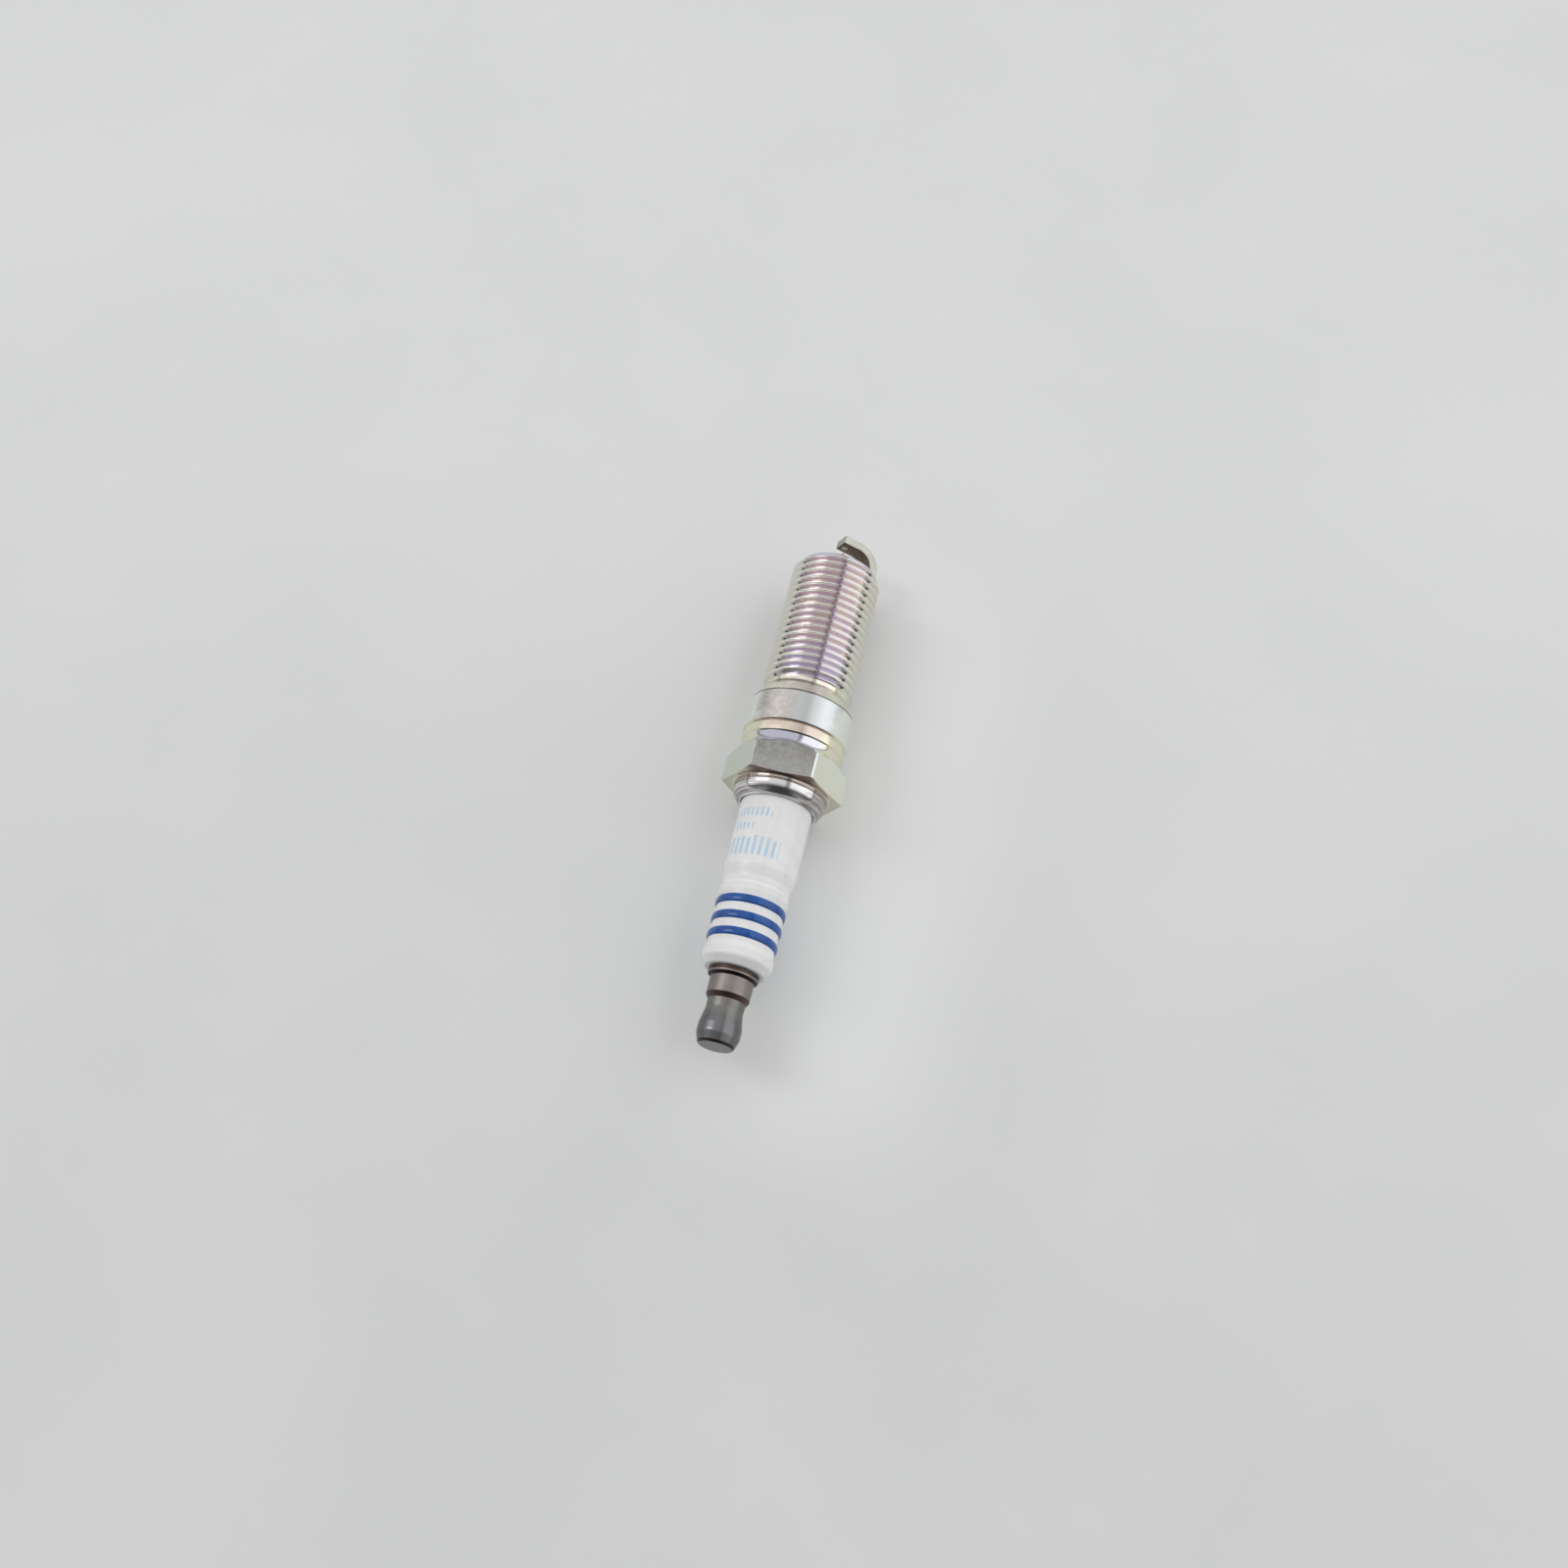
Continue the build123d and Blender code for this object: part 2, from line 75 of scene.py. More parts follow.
FLOOR_Z = shell_low.z
SHELL_FACE = shell_high.y
LIP_END = shell_low.y
CREST_R = mount("thread")["dims"]["r_mm"]
PITCH = 1.25
THREAD_DEPTH = 0.613 * PITCH
ROOT_R = CREST_R - THREAD_DEPTH
FIRST_CREST = 22.09
FLAT_R = -FLOOR_Z
CORNER_R = shell_high.x
CORNER_ROUNDING = 0.28
THROAT = (7.60, -8.28)
HEX_FRONT = (FLAT_R, -9.50)
HEX_FRONT_CORNER = (9.24, -10.35)
HEX_REAR = -14.60
HEX_FACE_R = 7.75
HEX_REAR_SLOPE = 0.22 / (9.24 - HEX_FACE_R)
BARREL_R = mount("boot_barrel")["dims"]["r_mm"]
INSULATOR_REAR = insulator_low.y
NOSE_TIP = insulator_high.y
BULB_R = mount("terminal_snap")["dims"]["r_mm"]
TERMINAL_END = terminal_low.y

RIB_R = 5.20
RIB_GROOVE_R = 4.97
RIB_WIDTH = 1.28
FIRST_RIB = -33.56
RIB_PITCH = 2.55
RIB_COUNT = 3

STRAP_TURN = radians(28.0)
STRAP_WIDTH = 2.80
STRAP_THICKNESS = 1.32
STRAP_OUTER_R = 5.78
STRAP_BEND_R = 3.30
STRAP_REACH = 0.85
STRAP_ROUNDING = 0.16
STRAP_END_ROUNDING = 0.06
STRAP_INNER_COLUMNS = range(7, 12)

TURN_COLUMNS = 192
SHEATH_COLUMNS = 96
SMALL_COLUMNS = 64


# ---- outlines -----------------------------------------------------------------------------
def rounded(corners, steps=6, support=0.05):
    """Points along an outline of (radius, station, rounding) corners, each rounded by an arc.

    Two more points beside each arc hold the flat stretches flat when they are smooth shaded.
    """
    points = []
    last = len(corners) - 1
    for i, corner in enumerate(corners):
        here = Vector(corner[:2])
        radius = corner[2] if len(corner) > 2 else 0.0
        if radius <= 0.0 or i in (0, last):
            points.append(here)
            continue
        back = (Vector(corners[i - 1][:2]) - here).normalized()
        ahead = (Vector(corners[i + 1][:2]) - here).normalized()
        half = back.angle(ahead) / 2
        reach = radius / tan(half)
        centre = here + (back + ahead).normalized() * radius / sin(half)
        start = here + back * reach
        end = here + ahead * reach
        points.append(start + back * support)
        a, b = start - centre, end - centre
        sweep = a.angle(b)
        for k in range(steps + 1):
            t = k / steps
            blend = (a * sin((1 - t) * sweep) + b * sin(t * sweep)) / sin(sweep)
            points.append(centre + blend)
        points.append(end + ahead * support)
    return [(p.x, p.y) for p in points]


def circle_through(start, middle, end):
    """Centre and radius of the circle through three points, as (x, y, radius)."""
    (ax, ay), (bx, by), (cx, cy) = start, middle, end
    d = 2 * (ax * (by - cy) + bx * (cy - ay) + cx * (ay - by))
    a2, b2, c2 = ax**2 + ay**2, bx**2 + by**2, cx**2 + cy**2
    x = (a2 * (by - cy) + b2 * (cy - ay) + c2 * (ay - by)) / d
    y = (a2 * (cx - bx) + b2 * (ax - cx) + c2 * (bx - ax)) / d
    return x, y, hypot(ax - x, ay - y)


def arc_points(start, middle, end, steps):
    """Points on an arc of under half a turn through three points, both ends included."""
    x, y, radius = circle_through(start, middle, end)
    first = atan2(start[1] - y, start[0] - x)
    last = atan2(end[1] - y, end[0] - x)
    sweep = (last - first + pi) % (2 * pi) - pi
    angles = [first + sweep * k / steps for k in range(steps + 1)]
    return [(x + radius * cos(a), y + radius * sin(a)) for a in angles]


# ---- mesh making --------------------------------------------------------------------------
def place(radius, station, angle):
    """A point in metres from its radius, station and angle about the axis."""
    return (radius * sin(angle) * MM, station * MM, radius * cos(angle) * MM)


def new_piece(
    name, vertices, faces, material, node=None, slot=None, second=None, second_faces=()
):
    """A smooth-shaded mesh piece on the root body, standing for a CAD node if one is named.

    The faces whose numbers are given have the second material.
    """
    mesh = bpy.data.meshes.new(name)
    mesh.from_pydata(vertices, [], faces)
    mesh.validate()
    mesh.shade_smooth()
    mesh.materials.append(material)
    if second:
        mesh.materials.append(second)
        for number in second_faces:
            mesh.polygons[number].material_index = 1
    piece = bpy.data.objects.new(name, mesh)
    bpy.context.scene.collection.objects.link(piece)
    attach(piece, "root")
    if node:
        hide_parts(node)
    return piece


def turned_mesh(points, columns=TURN_COLUMNS, closed=False):
    """Vertices and faces of an outline turned about the axis. Points at radius 0 are poles."""
    vertices = []
    rows = []
    for radius, station in points:
        if radius < 1e-6:
            rows.append([len(vertices)] * columns)
            vertices.append(place(0, station, 0))
        else:
            rows.append(list(range(len(vertices), len(vertices) + columns)))
            vertices += [place(radius, station, 2 * pi * j / columns) for j in range(columns)]
    return vertices, woven(rows, columns, closed)


def woven(rows, columns, closed):
    """Faces between neighbouring rows of vertex numbers, with repeated corners dropped."""
    faces = []
    pairs = list(zip(rows, rows[1:]))
    if closed:
        pairs.append((rows[-1], rows[0]))
    for upper, lower in pairs:
        for j in range(columns):
            k = (j + 1) % columns
            face = without_repeats([upper[j], lower[j], lower[k], upper[k]])
            if len(face) > 2:
                faces.append(face)
    return faces


def without_repeats(face):
    """A face's corners in order, each once."""
    return list(dict.fromkeys(face))


# ---- metal shell --------------------------------------------------------------------------
def soft_ramp(value, width):
    """0 below, value above, with a rounded corner of that half width."""
    if value <= -width:
        return 0.0
    if value >= width:
        return value
    return (value + width) ** 2 / (4 * width)


CREST_HALF = 0.079
ROOT_FROM = 0.521
CREST_SOFT = 0.035
ROOT_SOFT = 0.06


def thread_radius(distance):
    """Radius of the thread at a distance along the axis from the middle of a crest."""
    rise = soft_ramp(distance - CREST_HALF, CREST_SOFT) - soft_ramp(distance - ROOT_FROM, ROOT_SOFT)
    return CREST_R - THREAD_DEPTH * rise / (ROOT_FROM - CREST_HALF)


LEAD_FRONT = 23.65
LEAD_REAR = 22.85
RELIEF_FRONT = 2.85
RELIEF_REAR = 2.25
PILOT_R = ROOT_R - 0.06
NECK_R = 6.35
GAUGE_R = 7.4
SEAT_HALF_ANGLE = radians(31.5)


def lead_radius(station):
    """Radius of the blank that the thread is cut into."""
    if station > LEAD_REAR:
        return max(PILOT_R, CREST_R - (station - LEAD_REAR))
    if station < RELIEF_FRONT:
        return max(NECK_R, CREST_R - (RELIEF_FRONT - station))
    return CREST_R


def thread_offsets():
    """Places along one pitch, from a crest's middle, where the thread's section needs a point."""
    near = [0.0, CREST_HALF - CREST_SOFT, CREST_HALF, CREST_HALF + CREST_SOFT, 0.2, 0.3, 0.4,
            ROOT_FROM - ROOT_SOFT, ROOT_FROM, ROOT_FROM + ROOT_SOFT]
    far = [PITCH - d for d in near[:0:-1]]
    return near + [PITCH / 2] + far


def shell_angles():
    """Angles of the shell's columns: even steps, and more beside the hexagon's corners."""
    angles = [radians(2 * k) for k in range(180)]
    for corner in range(6):
        middle = radians(30 + 60 * corner)
        for offset in (0.3, 0.62, 0.95, 1.35):
            angles += [middle - radians(offset), middle + radians(offset)]
    return sorted(angles)


def hexagon_radius(angle):
    """Radius of the hexagon at an angle, with its long edges slightly rounded."""
    from_flat = (angle + pi / 6) % (pi / 3) - pi / 6
    centre_r = (FLAT_R - CORNER_ROUNDING) / cos(pi / 6)
    from_corner = pi / 6 - abs(from_flat)
    tangent = atan2(CORNER_ROUNDING * 0.5, centre_r + CORNER_ROUNDING * cos(pi / 6))
    if from_corner > tangent:
        return FLAT_R / cos(from_flat)
    inside = CORNER_ROUNDING**2 - (centre_r * sin(from_corner)) ** 2
    return centre_r * cos(from_corner) + sqrt(inside)


def hexagon_rows(angle):
    """(radius, station) down one column of the hexagon: hollow front, flat or edge, rear face."""
    radius = hexagon_radius(angle)
    centre_r, centre_y, hollow_r = circle_through(THROAT, HEX_FRONT, HEX_FRONT_CORNER)
    first = atan2(THROAT[1] - centre_y, THROAT[0] - centre_r)
    facet_front = centre_y - sqrt(hollow_r**2 - (radius - centre_r) ** 2)
    last = atan2(facet_front - centre_y, radius - centre_r)
    sweep = (last - first + pi) % (2 * pi) - pi
    facet_rear = HEX_REAR + (radius - HEX_FACE_R) * HEX_REAR_SLOPE
    rows = []
    for share in (0.08, 0.2, 0.35, 0.5, 0.65, 0.8, 0.92, 0.97):
        a = first + sweep * share
        rows.append((centre_r + hollow_r * cos(a), centre_y + hollow_r * sin(a)))
    rows.append((radius - 0.012, facet_front + 0.012))
    rows.append((radius, facet_front - 0.03))
    for share in (0.04, 0.3, 0.6, 0.96):
        rows.append((radius, facet_front + (facet_rear - facet_front) * share))
    rows.append((radius, facet_rear + 0.05))
    rows.append((radius - 0.015, facet_rear + 0.015))
    for share in (0.05, 0.35, 0.7, 0.97):
        inward = (radius - HEX_FACE_R) * share
        rows.append((radius - inward, facet_rear - inward * HEX_REAR_SLOPE))
    return rows


def shell_front_outline():
    """From the ledge in the bore, forward through the open chamber, over the front face."""
    return rounded([
        (4.90, 8.95, 0), (3.95, 9.90, 0.1), (3.95, 11.20, 0.15), (4.50, 12.0, 0.3),
        (4.50, SHELL_FACE - 0.14, 0.1), (4.64, SHELL_FACE, 0.05),
        (5.88, SHELL_FACE, 0.14), (PILOT_R, SHELL_FACE - 0.42, 0.12),
        (PILOT_R, LEAD_FRONT + 0.12, 0),
    ])


def shell_middle_outline():
    """From the thread's relief back over the seat, the collar and the thin band."""
    seat_front = (GAUGE_R - NECK_R) / tan(SEAT_HALF_ANGLE)
    seat_rear_r = GAUGE_R + 0.80 * tan(SEAT_HALF_ANGLE)
    corners = [
        (NECK_R, RELIEF_REAR - 0.1, 0), (NECK_R, seat_front, 0.25),
        (seat_rear_r - 0.03, -0.76, 0.05), (7.80, -0.86, 0.04), (7.95, -1.06, 0.10),
        (7.95, -5.83, 0.06), (7.74, -5.94, 0.03), (7.70, -6.06, 0.03), (7.78, -6.26, 0.08),
        (7.81, -6.95, 1.5), (7.79, -7.58, 0.07), (7.60, -7.80, 0.06), THROAT,
    ]
    return rounded(corners, steps=5, support=0.03)


def lip_outline():
    """From the hexagon's rear face over a fine bead and the rolled lip, down to the insulator."""
    root = [
        (7.70, HEX_REAR), (7.30, HEX_REAR), (7.16, HEX_REAR - 0.01), (7.09, HEX_REAR - 0.05),
        (7.06, HEX_REAR - 0.13),
    ]
    bead = [
        (7.06, -14.92), (7.05, -14.98), (7.00, -15.04), (6.97, -15.10), (6.99, -15.16), (7.04, -15.22),
    ]
    roll = arc_points((7.045, -15.28), (6.62, -16.55), (5.76, LIP_END + 0.02), 22)
    edge = [(5.62, LIP_END), (5.51, LIP_END + 0.05), (5.48, LIP_END + 0.16), (5.48, LIP_END + 0.6)]
    return root + bead + roll + edge


def shell_inner_outline():
    """The hidden bore, from the lip forward to the ledge."""
    return [(5.48, -16.25), (5.98, -15.86), (6.15, -15.25), (6.15, -3.2), (4.90, -2.0), (4.90, 8.0)]


def shell_mesh():
    """Vertices and faces of the whole shell, as one closed surface."""
    angles = shell_angles()
    count = len(angles)
    vertices = []

    def ring(radius, station):
        vertices.extend(place(radius, station, a) for a in angles)
        return list(range(len(vertices) - count, len(vertices)))

    front = [ring(r, y) for r, y in shell_front_outline()]
    middle = [ring(r, y) for r, y in shell_middle_outline()]
    thread_faces = thread_strip(angles, vertices, front[-1], middle[0])
    columns = [hexagon_rows(a) for a in angles]
    for k in range(len(columns[0])):
        vertices.extend(place(*columns[j][k], angles[j]) for j in range(count))
        middle.append(list(range(len(vertices) - count, len(vertices))))
    middle += [ring(r, y) for r, y in lip_outline() + shell_inner_outline()]
    faces = woven(front, count, False) + thread_faces + woven(middle, count, False)
    faces += woven([middle[-1], front[0]], count, False)
    return vertices, faces


def thread_strip(angles, vertices, front_ring, rear_ring):
    """Rows that follow the helix, so that the crest's edges are clean, closed onto two rings."""
    count = len(angles)
    offsets = thread_offsets()
    front_y = vertices[front_ring[0]][1] / MM
    rear_y = vertices[rear_ring[0]][1] / MM
    turns = int((front_y - rear_y) / PITCH) + 4
    base = FIRST_CREST - floor((FIRST_CREST - rear_y) / PITCH + 2) * PITCH
    numbers = {}

    def vertex(row, j):
        if j == count:
            row, j = row + len(offsets), 0
        lap, step = divmod(row, len(offsets))
        offset = offsets[step]
        station = base + lap * PITCH + offset + PITCH * angles[j] / (2 * pi)
        if station >= front_y - 0.02:
            return front_ring[j]
        if station <= rear_y + 0.02:
            return rear_ring[j]
        if (row, j) not in numbers:
            radius = min(lead_radius(station), thread_radius(min(offset, PITCH - offset)))
            if station < RELIEF_REAR:
                radius = NECK_R
            numbers[row, j] = len(vertices)
            vertices.append(place(radius, station, angles[j]))
        return numbers[row, j]

    faces = []
    for row in range(turns * len(offsets)):
        for j in range(count):
            corners = [vertex(row + 1, j), vertex(row, j), vertex(row, j + 1), vertex(row + 1, j + 1)]
            face = without_repeats(corners)
            on_a_ring = set(face) <= set(front_ring) or set(face) <= set(rear_ring)
            if len(face) > 2 and not on_a_ring:
                faces.append(face)
    return faces


# ---- insulator, terminal and centre electrode ---------------------------------------------
def rib_stations():
    """Middles of the coloured ribs, from front to rear."""
    return [FIRST_RIB - i * RIB_PITCH for i in range(RIB_COUNT)]


def insulator_outline():
    """The glazed insulator, from the nose's bore over the outside and back through the bore."""
    corners = [
        (1.30, 20.0, 0), (1.30, NOSE_TIP, 0.12), (2.30, NOSE_TIP, 0.42), (3.30, 12.2, 2.0),
        (3.62, 9.75, 0.1), (4.75, 8.55, 0.1), (4.75, -2.25, 0.2), (6.0, -3.5, 0.2), (6.0, -9.3, 0.3),
        (5.46, -9.95, 0.1), (BARREL_R, -17.35, 5.0), (BARREL_R, -28.15, 1.6), (5.03, -29.75, 1.3),
        (5.02, -30.72, 0.35), (RIB_R - 0.03, -31.16, 0.32), (RIB_R - 0.03, -32.0, 0.32),
    ]
    slope = 0.17
    top_r = RIB_R - 0.12
    for middle in rib_stations():
        front, rear = middle + RIB_WIDTH / 2, middle - RIB_WIDTH / 2
        corners += [
            (RIB_GROOVE_R, front, 0.1), (top_r, front - 2 * slope, 0.1),
            (top_r, rear + 2 * slope, 0.1), (RIB_GROOVE_R, rear, 0.1),
        ]
    corners += [
        (RIB_GROOVE_R, -40.05, 0.5), (RIB_R, -40.85, 0.9), (RIB_R, -42.15, 0.9),
        (4.35, INSULATOR_REAR, 0.45), (1.95, INSULATOR_REAR, 0.08), (1.95, 4.8, 0.1),
        (1.30, 5.4, 0.1), (1.30, 19.0, 0),
    ]
    return rounded(corners, steps=7, support=0.02)


def rib_band_outline(middle):
    """One rounded band of coloured glaze over a rib, as a closed ring."""
    half = RIB_WIDTH / 2 - 0.01
    foot_r, rise = RIB_GROOVE_R - 0.01, RIB_R + 0.05 - RIB_GROOVE_R
    steps = 28
    crown = []
    for k in range(steps + 1):
        a = pi * k / steps
        crown.append((foot_r + rise * sin(a) ** 0.85, middle + half * cos(a)))
    inside_r = RIB_GROOVE_R - 0.08
    return crown + [(inside_r, middle - half + 0.1), (inside_r, middle + half - 0.1)]


def terminal_outline():
    """The one-piece terminal, from its tip in the glass back to its snap-on end."""
    corners = [(0, -10.2, 0), (1.25, -10.2, 0.1)]
    for i in range(4):
        station = -10.5 - 0.8 * i
        corners += [
            (1.55, station, 0.03), (1.55, station - 0.28, 0.03), (1.35, station - 0.4, 0.03),
            (1.35, station - 0.68, 0.03),
        ]
    corners += [
        (1.60, -13.6, 0.03), (1.60, -24.0, 0.1), (1.85, -24.6, 0.1), (1.85, INSULATOR_REAR, 0.03),
        (3.70, INSULATOR_REAR, 0.13), (3.70, -44.16, 0.16), (3.24, -44.42, 0.05), (3.20, -44.5, 0.05),
        (3.20, -47.15, 0.14), (2.76, -47.85, 0.25), (2.72, -49.2, 1.8), (BULB_R, -51.55, 1.6),
        (BULB_R, -52.90, 1.6), (2.68, -54.30, 0.4), (2.45, TERMINAL_END, 0.08), (0, TERMINAL_END, 0),
    ]
    return rounded(corners, steps=8, support=0.02)


def electrode_outline():
    """The nickel sheath of the centre electrode."""
    corners = [
        (0, 27.15, 0), (0.42, 27.15, 0.04), (1.05, 26.35, 0.1), (1.25, 26.15, 0.08), (1.25, 5.42, 0.02),
        (1.93, 4.78, 0.05), (1.93, 4.2, 0.05), (1.45, 3.9, 0.05), (1.30, 2.9, 0.3), (0, 2.9, 0),
    ]
    return rounded(corners, steps=5, support=0.02)


def tip_outline():
    """The fine wire tip."""
    r = tip_high.x
    return rounded([(0, tip_high.y, 0), (r, tip_high.y, 0.03), (r, tip_low.y, 0.02), (0, tip_low.y, 0)],
                   steps=4, support=0.01)


def weld_outline():
    """The fused band where the wire tip is welded into the sheath."""
    r = tip_high.x
    return rounded([
        (r - 0.08, 27.2, 0), (r + 0.015, 27.34, 0.05), (r + 0.09, 27.22, 0.06), (r + 0.15, 27.08, 0.05),
        (r + 0.17, 26.98, 0.03), (r - 0.08, 26.95, 0),
    ], steps=4, support=0.005)


def pad_outline():
    """The precious-metal pad on the strap's inner face."""
    r = pad_high.x
    return rounded([(0, pad_high.y, 0), (r, pad_high.y, 0.02), (r, pad_low.y, 0.05), (0, pad_low.y, 0)],
                   steps=4, support=0.01)


# ---- ground strap -------------------------------------------------------------------------
STRAP_OUT = Vector((cos(STRAP_TURN), 0, -sin(STRAP_TURN)))
STRAP_ACROSS = Vector((sin(STRAP_TURN), 0, cos(STRAP_TURN)))
ALONG = Vector((0, 1, 0))


def strap_path():
    """(out, station, tangent angle) along the strap's mid line, from the weld to the free end."""
    strap_low, strap_high = extent("ground_strap")
    half = STRAP_THICKNESS / 2
    leg = STRAP_OUTER_R - half
    middle = strap_high.y - half
    bend_out, bend_station = leg - STRAP_BEND_R, middle - STRAP_BEND_R
    path = [(leg, strap_low.y + rise, 90) for rise in (-0.1, 0.35, 0.9)]
    steps = 28
    for k in range(steps + 1):
        a = radians(90 * k / steps)
        out, station = bend_out + STRAP_BEND_R * cos(a), bend_station + STRAP_BEND_R * sin(a)
        path.append((out, station, 90 + degrees(a)))
    end = STRAP_END_ROUNDING - STRAP_REACH
    steps = 8
    for k in range(1, steps + 1):
        path.append((bend_out + (end - bend_out) * k / steps, middle, 180))
    return path


def strap_section(shrink):
    """(thickness, width) points round the strap's rounded rectangular section."""
    half_t, half_w, radius = STRAP_THICKNESS / 2, STRAP_WIDTH / 2, STRAP_ROUNDING
    points = []
    for quarter, (st, sw) in enumerate(((1, 1), (-1, 1), (-1, -1), (1, -1))):
        for k in range(5):
            a = radians(90 * quarter + 90 * k / 4)
            points.append((
                st * (half_t - radius) + (radius - shrink) * cos(a),
                sw * (half_w - radius) + (radius - shrink) * sin(a),
            ))
    return points


def strap_mesh():
    """Vertices and faces of the strap, swept along its mid line."""
    vertices, rows = [], []
    path = strap_path()
    end_out, end_station, _ = path[-1]
    stations = [(p, 0.0) for p in path]
    for beyond, shrink in ((0.04, 0.02), (STRAP_END_ROUNDING, STRAP_END_ROUNDING)):
        stations.append(((end_out - beyond, end_station, 180), shrink))
    for (out, station, angle), shrink in stations:
        normal_out, normal_along = sin(radians(angle)), -cos(radians(angle))
        row = []
        for t, w in strap_section(shrink):
            middle = STRAP_OUT * (out + normal_out * t) + ALONG * (station + normal_along * t)
            p = middle + STRAP_ACROSS * w
            row.append(len(vertices))
            vertices.append(tuple(p * MM))
        rows.append(row)
    faces = woven(rows, len(rows[0]), False)
    faces += [rows[0], rows[-1][::-1]]
    return vertices, faces


def strap_inner_faces(count):
    """Numbers of the strap's faces that look towards the tip and the axis."""
    columns = len(strap_section(0))
    ends = 2
    return [number for number in range(count - ends) if number % columns in STRAP_INNER_COLUMNS]


def strap_weld_mesh():
    """The low resistance-weld bead round the foot of the strap."""
    vertices, rows = [], []
    leg = STRAP_OUTER_R - STRAP_THICKNESS / 2
    bead = ((-0.12, 0.10), (-0.02, 0.12), (0.05, 0.10), (0.12, 0.05), (0.2, 0.012), (0.24, -0.05))
    for height, grow in bead:
        row = []
        for i, (t, w) in enumerate(strap_section(-grow)):
            wobble = 1 + 0.18 * sin(i * 1.7) * (height > 0)
            p = STRAP_OUT * (leg + t) + ALONG * (SHELL_FACE + height * wobble) + STRAP_ACROSS * w
            row.append(len(vertices))
            vertices.append(tuple(p * MM))
        rows.append(row)
    faces = woven(rows, len(rows[0]), False)
    faces += [rows[0], rows[-1][::-1]]
    return vertices, faces


# ---- materials ----------------------------------------------------------------------------
class Finish:
    """A node material being made. Its coordinates are millimetres in the plug's frame."""

    def __init__(self, name, **sockets):
        self.material = bpy.data.materials.new(name)
        self.material.use_nodes = True
        self.tree = self.material.node_tree
        self.shader = self.tree.nodes["Principled BSDF"]
        for socket, value in sockets.items():
            self.shader.inputs[socket.replace("_", " ")].default_value = value
        place_node = self.add("ShaderNodeTexCoord")
        self.point = self.vector("SCALE", place_node.outputs["Object"], scale=1 / MM)
        split = self.add("ShaderNodeSeparateXYZ")
        self.put(self.point, split.inputs[0])
        self.station = split.outputs["Y"]
        x, z = split.outputs["X"], split.outputs["Z"]
        self.radius = self.math("SQRT", self.math("ADD", self.product(x, x), self.product(z, z)))
        self.angle = self.math("ARCTAN2", x, z)
        self.across = x

    def add(self, kind, **settings):
        node = self.tree.nodes.new(kind)
        for key, value in settings.items():
            setattr(node, key, value)
        return node

    def put(self, value, socket):
        if isinstance(value, bpy.types.NodeSocket):
            self.tree.links.new(value, socket)
        else:
            socket.default_value = value

    def math(self, operation, a, b=None, clamp=False):
        node = self.add("ShaderNodeMath", operation=operation, use_clamp=clamp)
        self.put(a, node.inputs[0])
        if b is not None:
            self.put(b, node.inputs[1])
        return node.outputs[0]

    def product(self, first, *others):
        """The values multiplied together."""
        for other in others:
            first = self.math("MULTIPLY", first, other)
        return first

    def total(self, first, *others):
        """The values added together."""
        for other in others:
            first = self.math("ADD", first, other)
        return first

    def vector(self, operation, a, b=None, scale=None):
        node = self.add("ShaderNodeVectorMath", operation=operation)
        self.put(a, node.inputs[0])
        if b is not None:
            self.put(b, node.inputs[1])
        if scale is not None:
            node.inputs["Scale"].default_value = scale
        return node.outputs[0]

    def combine(self, x, y, z):
        node = self.add("ShaderNodeCombineXYZ")
        for value, socket in zip((x, y, z), node.inputs):
            self.put(value, socket)
        return node.outputs[0]

    def noise(self, scale, detail=3.0, rough=0.5, at=None, distortion=0.0):
        node = self.add("ShaderNodeTexNoise")
        self.put(at if at is not None else self.point, node.inputs["Vector"])
        node.inputs["Scale"].default_value = scale
        node.inputs["Detail"].default_value = detail
        node.inputs["Roughness"].default_value = rough
        node.inputs["Distortion"].default_value = distortion
        return node.outputs["Fac"]

    def remap(self, value, low, high, to_low=0.0, to_high=1.0, smooth=True):
        node = self.add("ShaderNodeMapRange", interpolation_type="SMOOTHSTEP" if smooth else "LINEAR")
        for number, socket in zip((low, high, to_low, to_high), list(node.inputs)[1:5]):
            socket.default_value = number
        self.put(value, node.inputs[0])
        return node.outputs[0]

    def window(self, value, low, high, soft):
        """1 between low and high, falling to 0 over the soft width at each end."""
        rise = self.remap(value, low - soft, low + soft)
        fall = self.remap(value, high - soft, high + soft, 1.0, 0.0)
        return self.product(rise, fall)

    def zone(self, stations, soft):
        """1 between two stations, falling to 0 over the soft width at each end."""
        return self.window(self.station, *stations, soft)

    def turn(self):
        """The angle about the axis in degrees."""
        return self.product(self.angle, degrees(1))

    def mix(self, factor, a, b):
        """Colour a at factor 0, colour b at factor 1."""
        node = self.add("ShaderNodeMix", data_type="RGBA", blend_type="MIX")
        self.put(factor, node.inputs["Factor"])
        for value, socket in ((a, node.inputs[6]), (b, node.inputs[7])):
            self.put(value if isinstance(value, bpy.types.NodeSocket) else (*value, 1.0), socket)
        return node.outputs[2]

    def bump(self, height, strength, distance):
        node = self.add("ShaderNodeBump")
        node.inputs["Strength"].default_value = strength
        node.inputs["Distance"].default_value = distance * MM
        self.put(height, node.inputs["Height"])
        return node.outputs[0]

    def turning(self, along, around):
        """Noise drawn out round the axis, as a lathe or a roll leaves it."""
        at = self.combine(self.product(self.angle, around), self.product(self.station, along), 0.0)
        return self.noise(1.0, detail=4.0, rough=0.6, at=at)

    def finish(self, colour=None, roughness=None, normal=None):
        if colour is not None:
            self.put(colour, self.shader.inputs["Base Color"])
        if roughness is not None:
            self.put(roughness, self.shader.inputs["Roughness"])
        if normal is not None:
            self.put(normal, self.shader.inputs["Normal"])
        return self.material


